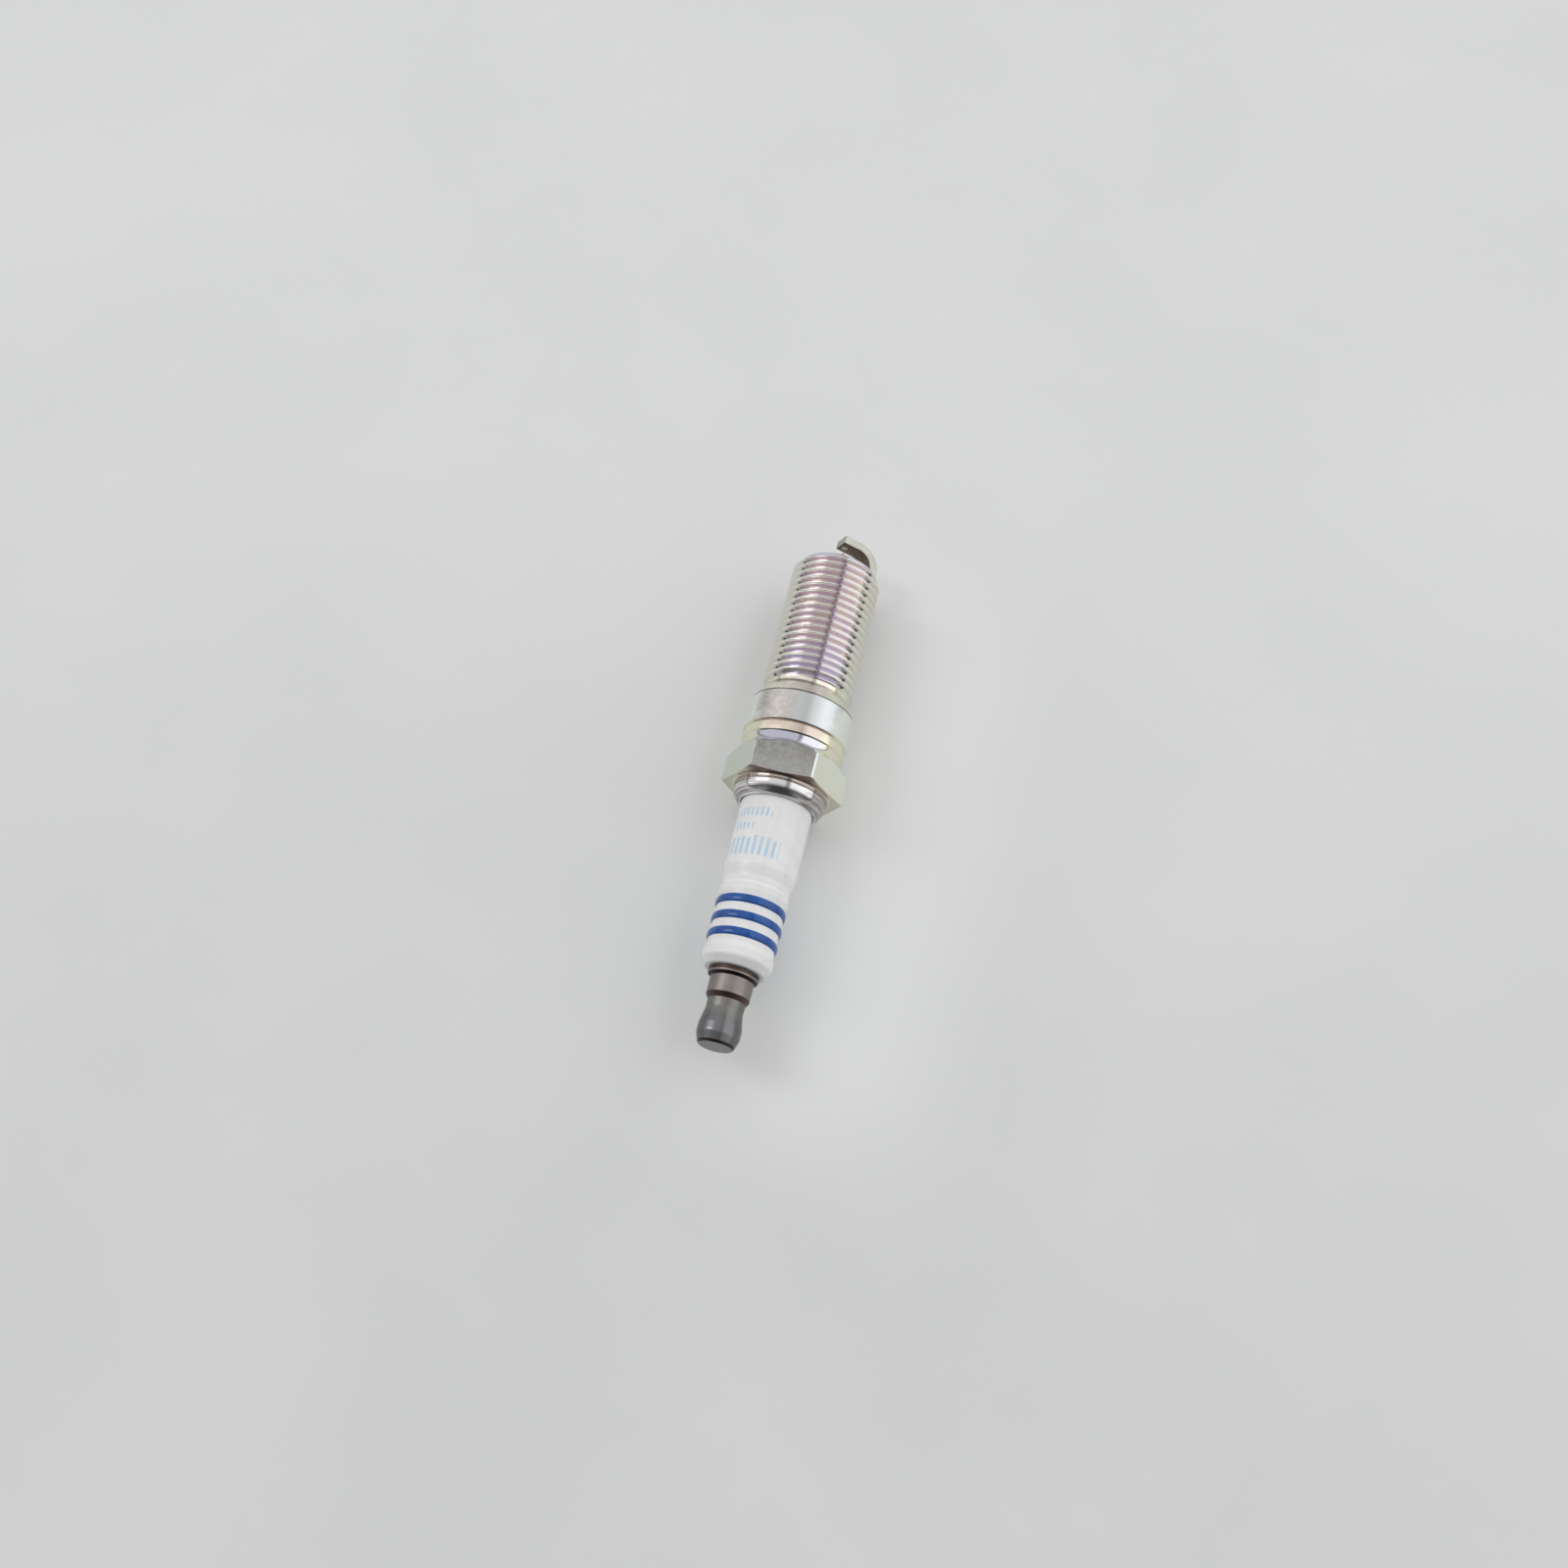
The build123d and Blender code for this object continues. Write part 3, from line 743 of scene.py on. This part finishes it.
SILVER = (0.60, 0.60, 0.58)
CREAM = (0.80, 0.77, 0.69)
MAUVE = (0.60, 0.51, 0.57)
VIOLET = (0.54, 0.51, 0.62)
ROSE = (0.63, 0.55, 0.53)
STRAW = (0.80, 0.77, 0.60)
LEAF = (0.74, 0.78, 0.66)
# Dark brown of the painted shade in the undercut behind the collar.
PAINTED_UNDERCUT_SHADE = (0.20, 0.12, 0.09)


# (rear, front) stations of the shell's zones
FACE_ZONE = (23.6, 24.6)
THREAD_ZONE = (2.4, 23.6)
SEAT_ZONE = (-0.7, 2.4)
SEAT_EDGE_ZONE = (-1.1, -0.78)
COLLAR_ZONE = (-5.86, -1.08)
UNDERCUT_ZONE = (-6.04, -5.9)
BAND_ZONE = (-7.6, -5.98)
THROAT_ZONE = (-10.0, -7.8)
HEXAGON_ZONE = (-14.62, -9.3)
LIP_ZONE = (-18.0, -14.63)


def thread_tint(f, side, patch, flank):
    """Rose and violet grooves; crests painted bright as a painted highlight, cream left and whiter right
    of a painted dark violet line (a painted reflection); painted dark spots in the roots at both sides
    (painted reflection); paler sides, partly painted reflection.
    """
    turn = f.turn()
    groove = f.mix(f.remap(patch, 0.38, 0.62), MAUVE, ROSE)
    groove = f.mix(f.remap(f.station, 2.5, 11.0, 0.8, 0.0), groove, VIOLET)
    # Paler grooves at the sides: partly the plating's tint, partly painted reflection.
    groove = f.mix(f.remap(side, 0.62, 0.86), groove, f.mix(0.5, flank, (0.80, 0.76, 0.74)))
    # Painted highlight: the crests painted bright, cream on the left and whiter on the right.
    crest = f.mix(f.remap(turn, 10.0, 24.0), (0.93, 0.91, 0.84), (0.96, 0.96, 0.94))
    # Painted reflection: a dark violet line along the crests.
    crest = f.mix(f.window(turn, 11.5, 14.5, 1.0), crest, (0.52, 0.48, 0.66))
    crest = f.mix(f.remap(side, 0.66, 0.86), crest, (0.86, 0.84, 0.78))
    tint = f.mix(f.remap(f.radius, 6.68, 6.84, 1.0, 0.0), crest, groove)
    # Painted reflection: dark spots in the thread's roots at both sides.
    right_painted_spots, left_painted_spots = f.window(turn, 53.0, 59.0, 1.5), f.window(turn, -55.0, -49.0, 1.5)
    painted_dark_spots = f.math("ADD", right_painted_spots, left_painted_spots, clamp=True)
    painted_dark_spots = f.product(painted_dark_spots, f.remap(f.radius, 6.38, 6.6, 0.9, 0.0))
    return f.mix(painted_dark_spots, tint, (0.07, 0.06, 0.09))


def seat_tint(f, side, patch, flank):
    """Straw and rose above and below, the flanks' colour at the sides, partly the plating's tint and
    partly painted reflection.
    """
    above = f.mix(f.remap(patch, 0.4, 0.6), (0.74, 0.64, 0.58), CREAM)
    return f.mix(f.remap(side, 0.35, 0.6), above, flank)


def collar_tint(f, side, mottle):
    """Mottled and darker on the left and plain grey in the middle, both painted darker than the sides as
    painted shade; a painted highlight streak on the right; pale green sides, partly the plating's tint
    and partly painted reflection.
    """
    turn = f.turn()
    mottled_left = f.mix(f.remap(mottle, 0.40, 0.66), (0.47, 0.435, 0.415), (0.58, 0.545, 0.52))
    tint = f.mix(f.remap(turn, -18.0, 8.0), mottled_left, (0.56, 0.57, 0.575))
    # Painted highlight: a lighter streak on the right.
    tint = f.mix(f.window(turn, 26.0, 44.0, 6.0), tint, (0.66, 0.68, 0.69))
    # Pale green sides: partly the plating's tint, partly painted reflection.
    return f.mix(f.remap(side, 0.62, 0.85), tint, (0.80, 0.84, 0.78))


def band_tint(f, side, patch):
    """Rose to straw on the thin band behind the collar."""
    tint = f.mix(f.remap(patch, 0.40, 0.62), (0.66, 0.55, 0.49), (0.70, 0.64, 0.52))
    # Straw at the sides: partly the plating's tint, partly painted reflection.
    return f.mix(f.remap(side, 0.45, 0.7), tint, STRAW)


def throat_tint(f, side):
    """Violet grey in front of the hexagon, painted lighter on the right as a painted reflection, and
    straw at the sides, partly the plating's tint and partly painted reflection.
    """
    tint = f.mix(f.remap(f.turn(), 2.0, 16.0), (0.50, 0.50, 0.585), (0.66, 0.66, 0.72))
    return f.mix(f.remap(side, 0.55, 0.8), tint, STRAW)


def hexagon_tint(f, plain_side, drift, mottle, flank):
    """Flats above and below painted a dull grey and slanting flats painted pale, as painted reflection;
    the dull flats lighter towards the rear as painted light, the left slanting flat darker as painted
    shade, and a painted highlight line on one long edge.
    """
    turn = f.turn()
    # Painted reflection: the flats above and below painted a dull grey.
    flat = f.mix(f.remap(mottle, 0.36, 0.64), (0.245, 0.250, 0.244), (0.365, 0.374, 0.366))
    flat = f.mix(f.remap(drift, 0.45, 0.6, 0.0, 0.35), flat, (0.36, 0.32, 0.28))
    # Painted light: the dull flats lighter towards the rear.
    flat = f.mix(f.remap(f.station, -13.6, -10.4, 0.4, 0.0), flat, (0.44, 0.44, 0.43))
    # Painted reflection: the slanting flats pale.
    slanting = f.mix(0.4, flank, (0.84, 0.87, 0.82))
    tint = f.mix(f.remap(plain_side, 0.495, 0.508), flat, slanting)
    # Painted shade: the left slanting flat darker.
    tint = f.mix(f.remap(turn, -29.5, -30.5, 0.0, 0.55), tint, (0.56, 0.61, 0.55))
    # Painted highlight: a bright line along one long edge.
    return f.mix(f.window(turn, 28.9, 31.2, 0.5), tint, (0.86, 0.89, 0.93))


def lip_tint(f, side):
    """Grey on top and painted darker at the sides as painted reflection, with painted highlight streaks
    and painted dark reflection streaks on the lip's sides, and a coppery line at its root.
    """
    streak = f.turning(5.0, 0.7)
    # Painted reflection: the lip's sides darker than its top.
    tint = f.mix(f.remap(side, 0.5, 0.85), (0.66, 0.64, 0.65), (0.40, 0.375, 0.37))
    # Painted highlight streaks on the lip's sides.
    light = f.product(f.remap(streak, 0.50, 0.64), f.remap(side, 0.35, 0.6))
    tint = f.mix(light, tint, (0.92, 0.90, 0.90))
    # Painted reflection: dark streaks on the lip's sides.
    dark = f.product(f.remap(streak, 0.48, 0.36), f.remap(side, 0.45, 0.8))
    tint = f.mix(dark, tint, (0.24, 0.21, 0.20))
    return f.mix(f.remap(f.station, -15.38, -15.1), tint, (0.43, 0.365, 0.330))


def on_hexagon_rear(f):
    """1 on the hexagon's sloping rear face, 0 elsewhere."""
    slope_line = f.product(f.math("SUBTRACT", f.radius, HEX_FACE_R), HEX_REAR_SLOPE)
    past_rear = f.math("SUBTRACT", f.math("SUBTRACT", f.station, HEX_REAR), slope_line)
    return f.product(f.window(past_rear, -0.2, 0.04, 0.02), f.window(f.radius, 7.1, 9.5, 0.05))


def plated_steel():
    """Bright zinc plating with the faint straw, green and rose tints of its passivation.

    The tints change round the axis: rose and grey above and below, straw and green at the sides; the
    paler sides are partly the passivation's colour and partly painted reflection, and several zones also
    carry painted light and shade.
    """
    f = Finish("plated_steel", Metallic=1.0)
    drift = f.noise(0.16, detail=2.0, rough=0.45, distortion=0.6)
    patch = f.noise(0.5, detail=3.0, rough=0.5)
    fine = f.noise(1.6, detail=4.0, rough=0.6)
    mottle = f.noise(1.3, detail=5.0, rough=0.65)
    lathe = f.turning(9.0, 1.6)
    plain_side = f.math("DIVIDE", f.math("ABSOLUTE", f.across), f.radius)
    side = f.total(plain_side, f.remap(patch, 0.3, 0.7, -0.06, 0.06))
    # The straw and green of the sides: partly the plating's tint, partly painted reflection.
    flank = f.mix(f.remap(patch, 0.36, 0.64), LEAF, STRAW)

    on_collar = f.zone(COLLAR_ZONE, 0.05)
    on_band = f.zone(BAND_ZONE, 0.05)
    on_throat = f.product(f.zone(THROAT_ZONE, 0.05), f.remap(f.radius, 7.9, 8.1, 1.0, 0.0))
    on_hexagon = f.product(f.zone(HEXAGON_ZONE, 0.02), f.remap(f.radius, 7.96, 8.0))
    on_lip = f.zone(LIP_ZONE, 0.02)
    # Painted shade: a dark green-grey band on the seat's rear edge.
    on_seat_edge = f.product(f.zone(SEAT_EDGE_ZONE, 0.03), 0.75)
    # Painted shade: the undercut behind the collar painted dark brown, fading out at the sides.
    on_undercut = f.product(f.zone(UNDERCUT_ZONE, 0.02), f.remap(side, 0.62, 0.88, 1.0, 0.0))
    face = f.mix(f.remap(patch, 0.35, 0.65), (0.62, 0.60, 0.60), (0.62, 0.61, 0.69))
    # The hexagon's rear face: dark brown above and below and pale at the sides, both painted reflection.
    hexagon_rear = f.mix(f.remap(side, 0.45, 0.75), (0.245, 0.185, 0.160), (0.66, 0.64, 0.52))

    # Silver above and below and the side colour at the sides: partly the plating's tint, partly painted
    # reflection.
    colour = f.mix(f.remap(side, 0.45, 0.80), SILVER, flank)
    for where, tint in (
        (f.zone(THREAD_ZONE, 0.25), thread_tint(f, side, patch, flank)),
        (f.zone(FACE_ZONE, 0.1), face),
        (f.zone(SEAT_ZONE, 0.2), seat_tint(f, side, patch, flank)),
        (on_seat_edge, (0.26, 0.30, 0.25)),
        (on_collar, collar_tint(f, side, mottle)),
        (on_band, band_tint(f, side, patch)),
        (on_undercut, PAINTED_UNDERCUT_SHADE),
        (on_throat, throat_tint(f, side)),
        (on_hexagon, hexagon_tint(f, plain_side, drift, mottle, flank)),
        (on_hexagon_rear(f), hexagon_rear),
        (on_lip, lip_tint(f, side)),
    ):
        colour = f.mix(where, colour, tint)

    rough = f.total(
        f.remap(lathe, 0.3, 0.7, 0.0, 0.05, smooth=False), 0.15,
        f.product(on_collar, 0.18), f.product(on_band, 0.10),
        f.product(on_hexagon, f.remap(mottle, 0.3, 0.7, 0.12, 0.24)), f.product(on_lip, -0.02),
    )
    rough = f.math("ADD", rough, f.product(on_throat, -0.03), clamp=True)

    marks = f.product(lathe, f.math("ADD", on_collar, on_band, clamp=True), 0.4)
    pits = f.product(mottle, on_hexagon, 0.8)
    height = f.total(marks, pits, f.product(fine, on_collar, 0.5))
    return f.finish(colour, rough, f.bump(height, 0.5, 0.02))


# front station, rear station, degrees from stroke to stroke, first degree, last degree
PRINTED_ROWS = (
    (-19.3, -20.7, 8.5, -78.0, 2.0),
    (-21.5, -22.8, 8.5, -62.0, -24.0),
    (-23.9, -26.9, 10.5, -82.0, 26.0),
)


def printed_row(f, front, rear, pitch, first, last):
    """A row of short plain strokes round the barrel, between two stations and two angles."""
    turn = f.turn()
    count = f.math("DIVIDE", f.math("SUBTRACT", turn, first), pitch)
    cell = f.math("FLOOR", count)
    stroke = f.window(f.math("SUBTRACT", count, cell), 0.18, 0.62, 0.05)
    uneven = f.noise(1.0, detail=0.0, at=f.combine(f.product(cell, 3.7), front, 0.0))
    start = f.math("ADD", front, f.remap(uneven, 0.35, 0.65, -0.5, 0.0, smooth=False))
    below = f.remap(f.math("SUBTRACT", start, f.station), -0.04, 0.04)
    above = f.remap(f.station, rear - 0.04, rear + 0.04)
    return f.product(stroke, below, above, f.window(turn, first, last, 0.4))


def ceramic_glaze():
    """White glazed alumina with faint blue strokes; the nose, inside the shell, is bare and matt."""
    f = Finish("glazed_ceramic", Coat_Weight=0.45, Coat_Roughness=0.05, Specular_IOR_Level=0.3)
    cloud = f.noise(0.35, detail=3.0)
    colour = f.mix(f.remap(cloud, 0.35, 0.65), (0.800, 0.804, 0.798), (0.828, 0.830, 0.824))
    speck = f.noise(3.5, detail=2.0)
    colour = f.mix(f.remap(speck, 0.70, 0.76, 0.0, 0.25), colour, (0.62, 0.58, 0.52))
    ink = f.remap(cloud, 0.3, 0.7, 0.60, 0.80)
    for row in PRINTED_ROWS:
        colour = f.mix(f.product(printed_row(f, *row), ink), colour, (0.33, 0.58, 0.86))
    bare = f.remap(f.station, 7.5, 9.0)
    colour = f.mix(bare, colour, (0.86, 0.84, 0.78))
    rough = f.total(f.remap(cloud, 0.3, 0.7, 0.22, 0.30), f.product(bare, 0.3))
    return f.finish(colour, rough)


def blue_glaze():
    """Royal blue glaze, a little thinner and lighter at the edges of each band."""
    f = Finish("blue_glaze", Coat_Weight=0.5, Coat_Roughness=0.06, Specular_IOR_Level=0.2)
    cloud = f.noise(0.9, detail=3.0)
    deep = f.mix(f.remap(cloud, 0.35, 0.65), (0.004, 0.066, 0.29), (0.008, 0.090, 0.36))
    edge = f.remap(f.radius, RIB_GROOVE_R, RIB_GROOVE_R + 0.07, 1.0, 0.0)
    colour = f.mix(f.product(edge, 0.4), deep, (0.08, 0.20, 0.50))
    return f.finish(colour, f.remap(cloud, 0.3, 0.7, 0.2, 0.3), f.bump(cloud, 0.2, 0.02))


# (rear, front) stations, soft width and colour of the rings round the terminal. The flange, undercut and
# step rings are painted shade, the rim ring a painted highlight.
TERMINAL_RINGS = {
    "flange": ((-43.95, -43.2), 0.05, (0.085, 0.058, 0.048)),
    "rim": ((-44.12, -43.97), 0.03, (0.26, 0.24, 0.235)),
    "undercut": ((-44.6, -44.2), 0.05, (0.03, 0.026, 0.026)),
    "step": ((-47.88, -47.08), 0.05, (0.115, 0.080, 0.066)),
}


def oxidised_steel():
    """Dark brown-grey steel of the terminal, cooler and a little smoother at the bulb, with rings of
    painted shade and a painted highlight on the flange's rim.
    """
    f = Finish("dark_steel", Metallic=1.0)
    lathe = f.turning(12.0, 2.0)
    cloud = f.noise(0.5, detail=3.0)
    clouding = f.remap(cloud, 0.3, 0.7)
    body = f.mix(clouding, (0.235, 0.205, 0.192), (0.275, 0.252, 0.243))
    neck = f.mix(clouding, (0.185, 0.178, 0.166), (0.210, 0.206, 0.196))
    bulb = f.mix(clouding, (0.150, 0.150, 0.154), (0.176, 0.178, 0.184))
    colour = f.mix(f.remap(f.station, -47.2, -48.4), body, neck)
    colour = f.mix(f.remap(f.station, -49.4, -51.2), colour, bulb)
    for stations, soft, tint in TERMINAL_RINGS.values():
        colour = f.mix(f.zone(stations, soft), colour, tint)
    # Painted shade: a dark ring round the edge of the end face.
    on_end = f.product(f.zone((-54.46, -54.1), 0.06), f.window(f.radius, 2.5, 2.86, 0.05))
    colour = f.mix(on_end, colour, (0.06, 0.045, 0.035))
    smoother = f.remap(f.station, -49.4, -51.2, 0.0, -0.11)
    rough = f.total(f.remap(lathe, 0.3, 0.7, 0.37, 0.41), smoother)
    return f.finish(colour, rough, f.bump(lathe, 0.02, 0.01))


def nickel_alloy():
    """Drawn nickel alloy with fine lengthwise drawing marks."""
    f = Finish("nickel_alloy", Metallic=1.0)
    grain = f.noise(1.0, detail=4.0, rough=0.6, at=f.vector("MULTIPLY", f.point, (6.0, 0.9, 14.0)))
    cloud = f.noise(0.8, detail=3.0)
    colour = f.mix(f.remap(cloud, 0.35, 0.65), (0.42, 0.415, 0.36), (0.49, 0.485, 0.43))
    return f.finish(colour, f.remap(grain, 0.3, 0.7, 0.28, 0.42), f.bump(grain, 0.4, 0.02))


def plain_metal(name, dark, light, low, high):
    """A small worked-metal piece with cloudy colour and fine marks."""
    f = Finish(name, Metallic=1.0)
    cloud = f.noise(2.0, detail=4.0)
    colour = f.mix(f.remap(cloud, 0.35, 0.65), dark, light)
    return f.finish(colour, f.remap(cloud, 0.3, 0.7, low, high), f.bump(f.turning(14.0, 2.0), 0.3, 0.01))


def grainy(name, dark, light, scale, low, high):
    """A dull pressed or fused material with a visible grain."""
    f = Finish(name)
    grain = f.noise(scale, detail=6.0, rough=0.65)
    colour = f.mix(f.remap(grain, 0.35, 0.65), dark, light)
    return f.finish(colour, f.remap(grain, 0.3, 0.7, low, high), f.bump(grain, 0.5, 0.05))


# ---- pieces -------------------------------------------------------------------------------
steel = plated_steel()
ceramic = ceramic_glaze()
blue = blue_glaze()
dark_steel = oxidised_steel()
nickel = nickel_alloy()
# Dark brown nickel for the strap's faces towards the tip and the axis.
dark_inner_nickel = plain_metal("dark_brown_nickel", (0.17, 0.125, 0.095), (0.25, 0.19, 0.15), 0.42, 0.58)
precious = plain_metal("precious_metal", (0.40, 0.37, 0.33), (0.54, 0.51, 0.47), 0.26, 0.40)
soft_steel = plain_metal("soft_steel", (0.36, 0.36, 0.37), (0.50, 0.50, 0.50), 0.35, 0.5)
copper = plain_metal("copper", (0.72, 0.36, 0.22), (0.86, 0.50, 0.34), 0.22, 0.38)
glass_seal = grainy("conductive_glass", (0.05, 0.05, 0.055), (0.13, 0.12, 0.12), 6.0, 0.35, 0.6)
resistor = grainy("resistor_slug", (0.02, 0.02, 0.022), (0.07, 0.07, 0.07), 8.0, 0.6, 0.85)
talc = grainy("talc", (0.78, 0.78, 0.74), (0.90, 0.90, 0.87), 5.0, 0.75, 0.95)

new_piece("shell_plated", *shell_mesh(), steel, "metal_shell", "plated_steel")
insulator = turned_mesh(insulator_outline(), closed=True)
new_piece("insulator_glazed", *insulator, ceramic, "insulator", "glazed_ceramic")
for number, station in enumerate(rib_stations(), 1):
    band = turned_mesh(rib_band_outline(station), closed=True)
    new_piece(f"rib_band_{number}", *band, blue, slot="glazed_ceramic")
new_piece("terminal_turned", *turned_mesh(terminal_outline()), dark_steel, "terminal_stud", "dark_steel")
sheath = turned_mesh(electrode_outline(), SHEATH_COLUMNS)
new_piece("centre_sheath", *sheath, nickel, "centre_electrode", "nickel_alloy")
tip_wire = turned_mesh(tip_outline(), SMALL_COLUMNS)
new_piece("tip_wire", *tip_wire, precious, "wire_tip", "precious_metal")
tip_weld = turned_mesh(weld_outline(), SMALL_COLUMNS, closed=True)
new_piece("tip_weld", *tip_weld, nickel, slot="nickel_alloy")
strap_vertices, strap_faces = strap_mesh()
new_piece("strap_bent", strap_vertices, strap_faces, nickel, "ground_strap", "nickel_alloy",
          second=dark_inner_nickel, second_faces=strap_inner_faces(len(strap_faces)))
new_piece("strap_weld", *strap_weld_mesh(), nickel, slot="nickel_alloy")
pad_disc = turned_mesh(pad_outline(), SMALL_COLUMNS)
new_piece("pad_disc", *pad_disc, precious, "ground_pad", "precious_metal")

CAD_FINISHES = {
    "upper_glass_seal": glass_seal,
    "lower_glass_seal": glass_seal,
    "resistor": resistor,
    "electrode_copper_core": copper,
    "seat_washer": soft_steel,
    "front_wire_ring": soft_steel,
    "rear_wire_ring": soft_steel,
    "talc_packing": talc,
}
for node, finish in CAD_FINISHES.items():
    mesh = frame["nodes"][node].data
    mesh.materials.clear()
    mesh.materials.append(finish)


# ---- stage, light and camera --------------------------------------------------------------
def pale_floor():
    """A pale matt table top with very faint clouding, painted darker towards the camera's end as painted
    shade, and painted lighter beside the plug as painted light that softens its shadow.
    """
    f = Finish("pale_table", Roughness=0.55)
    cloud = f.noise(0.02, detail=4.0)
    near = f.mix(f.remap(cloud, 0.3, 0.7), (0.680, 0.690, 0.686), (0.710, 0.720, 0.715))
    far = f.mix(f.remap(cloud, 0.3, 0.7), (0.758, 0.769, 0.765), (0.782, 0.793, 0.788))
    # Painted shade: darker towards the camera's end.
    colour = f.mix(f.remap(f.station, -90.0, 60.0, smooth=False), near, far)
    # Painted light beside the plug, stronger on its right, softening its shadow.
    painted_light_beside = f.product(f.window(f.across, -16.0, 26.0, 16.0), f.zone((-60.0, 26.0), 16.0))
    painted_light_beside = f.product(painted_light_beside, f.remap(f.across, -14.0, 12.0, 0.45, 0.85))
    colour = f.mix(painted_light_beside, colour, (0.870, 0.880, 0.876))
    return f.finish(colour)


TABLE_WIDTH = 3000


def make_floor():
    """The table that the plug lies on."""
    half = TABLE_WIDTH / 2
    corners = [(-half, -half), (half, -half), (half, half), (-half, half)]
    vertices = [(x * MM, y * MM, FLOOR_Z * MM) for x, y in corners]
    mesh = bpy.data.meshes.new("table_top")
    mesh.from_pydata(vertices, [], [(0, 1, 2, 3)])
    mesh.materials.append(pale_floor())
    table = bpy.data.objects.new("table_top", mesh)
    bpy.context.scene.collection.objects.link(table)


LEFT_LIGHT = 0.92
RIGHT_LIGHT = 1.36
LAMP_LIGHT = 4.0
GAP_LIGHT = 0.30
FAR_LIGHT = 0.50
NEAR_LIGHT = 0.06
NEAR_SIDE_LIGHT = 0.3

# degrees of tilt from straight up towards +X
LEFT_SECTOR = (-86, 12)
GAP_SECTOR = (12, 22)
RIGHT_SECTOR = (22, 86)
LAMP_SECTOR = (-60, -33)
SECTOR_SOFT = 3

# Y of a direction, where one part of the tent fades into the next
NEAR_FADE = (-0.66, -0.16)
FAR_FADE = (0.84, 0.99)
LAMP_SPAN = (-0.02, 0.22)


def make_world():
    """A light tent: two wide panels with a dark gap between, a lamp, and a dark side by the camera."""
    world = bpy.data.worlds.new("studio")
    bpy.context.scene.world = world
    world.use_nodes = True
    tree = world.node_tree
    background = tree.nodes["Background"]

    def add(kind, **settings):
        node = tree.nodes.new(kind)
        for key, value in settings.items():
            setattr(node, key, value)
        return node

    def math(operation, a, b=0.0):
        node = add("ShaderNodeMath", operation=operation)
        for value, socket in ((a, node.inputs[0]), (b, node.inputs[1])):
            if isinstance(value, bpy.types.NodeSocket):
                tree.links.new(value, socket)
            else:
                socket.default_value = value
        return node.outputs[0]

    def step(value, low, high, to_low=0.0, to_high=1.0):
        node = add("ShaderNodeMapRange", interpolation_type="SMOOTHSTEP")
        for number, socket in zip((low, high, to_low, to_high), list(node.inputs)[1:5]):
            socket.default_value = number
        tree.links.new(value, node.inputs[0])
        return node.outputs[0]

    def band(value, low, high, soft):
        rise, fall = step(value, low - soft, low + soft), step(value, high - soft, high + soft, 1.0, 0.0)
        return math("MULTIPLY", rise, fall)

    def sector(limits, light):
        low, high = limits
        return math("MULTIPLY", band(tilt, radians(low), radians(high), radians(SECTOR_SOFT)), light)

    direction = add("ShaderNodeTexCoord")
    split = add("ShaderNodeSeparateXYZ")
    tree.links.new(direction.outputs["Generated"], split.inputs[0])
    x, y, z = split.outputs["X"], split.outputs["Y"], split.outputs["Z"]
    tilt = math("ARCTAN2", x, z)
    upper = math("MULTIPLY", step(y, *NEAR_FADE), step(y, *FAR_FADE, 1.0, 0.0))
    sides = math("ADD", sector(LEFT_SECTOR, LEFT_LIGHT), sector(RIGHT_SECTOR, RIGHT_LIGHT))
    panels = math("MULTIPLY", math("ADD", sides, sector(GAP_SECTOR, GAP_LIGHT)), upper)
    lamp = math("MULTIPLY", sector(LAMP_SECTOR, LAMP_LIGHT), band(y, *LAMP_SPAN, 0.03))
    far_end = math("MULTIPLY", step(y, *FAR_FADE), FAR_LIGHT)
    near_end = math("MULTIPLY", step(y, *NEAR_FADE, 1.0, 0.0), NEAR_LIGHT)
    near_sides = math("MULTIPLY", step(math("ABSOLUTE", x), 0.25, 0.6), step(y, -0.9, -0.5, 1.0, 0.0))
    near_sides = math("MULTIPLY", near_sides, NEAR_SIDE_LIGHT)
    strength = panels
    for light in (lamp, near_sides, far_end, near_end):
        strength = math("ADD", strength, light)
    tree.links.new(strength, background.inputs["Strength"])
    background.inputs["Color"].default_value = (1.0, 1.0, 1.0, 1.0)


CAMERA_AZIMUTH = radians(13.36)
CAMERA_ELEVATION = radians(65.98)
CAMERA_DISTANCE = 288.93
CAMERA_AIM = Vector((0.09, -12.86, 0.0))
CAMERA_LENS = 44.49
SENSOR = 36.0


def make_camera():
    """The camera, above the plug and to the terminal's side of it."""
    data = bpy.data.cameras.new("camera")
    data.lens = CAMERA_LENS
    data.sensor_width = SENSOR
    data.clip_start = 0.01
    data.clip_end = 20.0
    camera = bpy.data.objects.new("camera", data)
    bpy.context.scene.collection.objects.link(camera)
    level = cos(CAMERA_ELEVATION)
    back = Vector((sin(CAMERA_AZIMUTH) * level, -cos(CAMERA_AZIMUTH) * level, sin(CAMERA_ELEVATION)))
    camera.location = (CAMERA_AIM + back * CAMERA_DISTANCE) * MM
    camera.rotation_mode = "QUATERNION"
    camera.rotation_quaternion = (-back).to_track_quat("-Z", "Y")
    bpy.context.scene.camera = camera


make_floor()
make_world()
make_camera()
bpy.context.scene.view_settings.view_transform = "Standard"
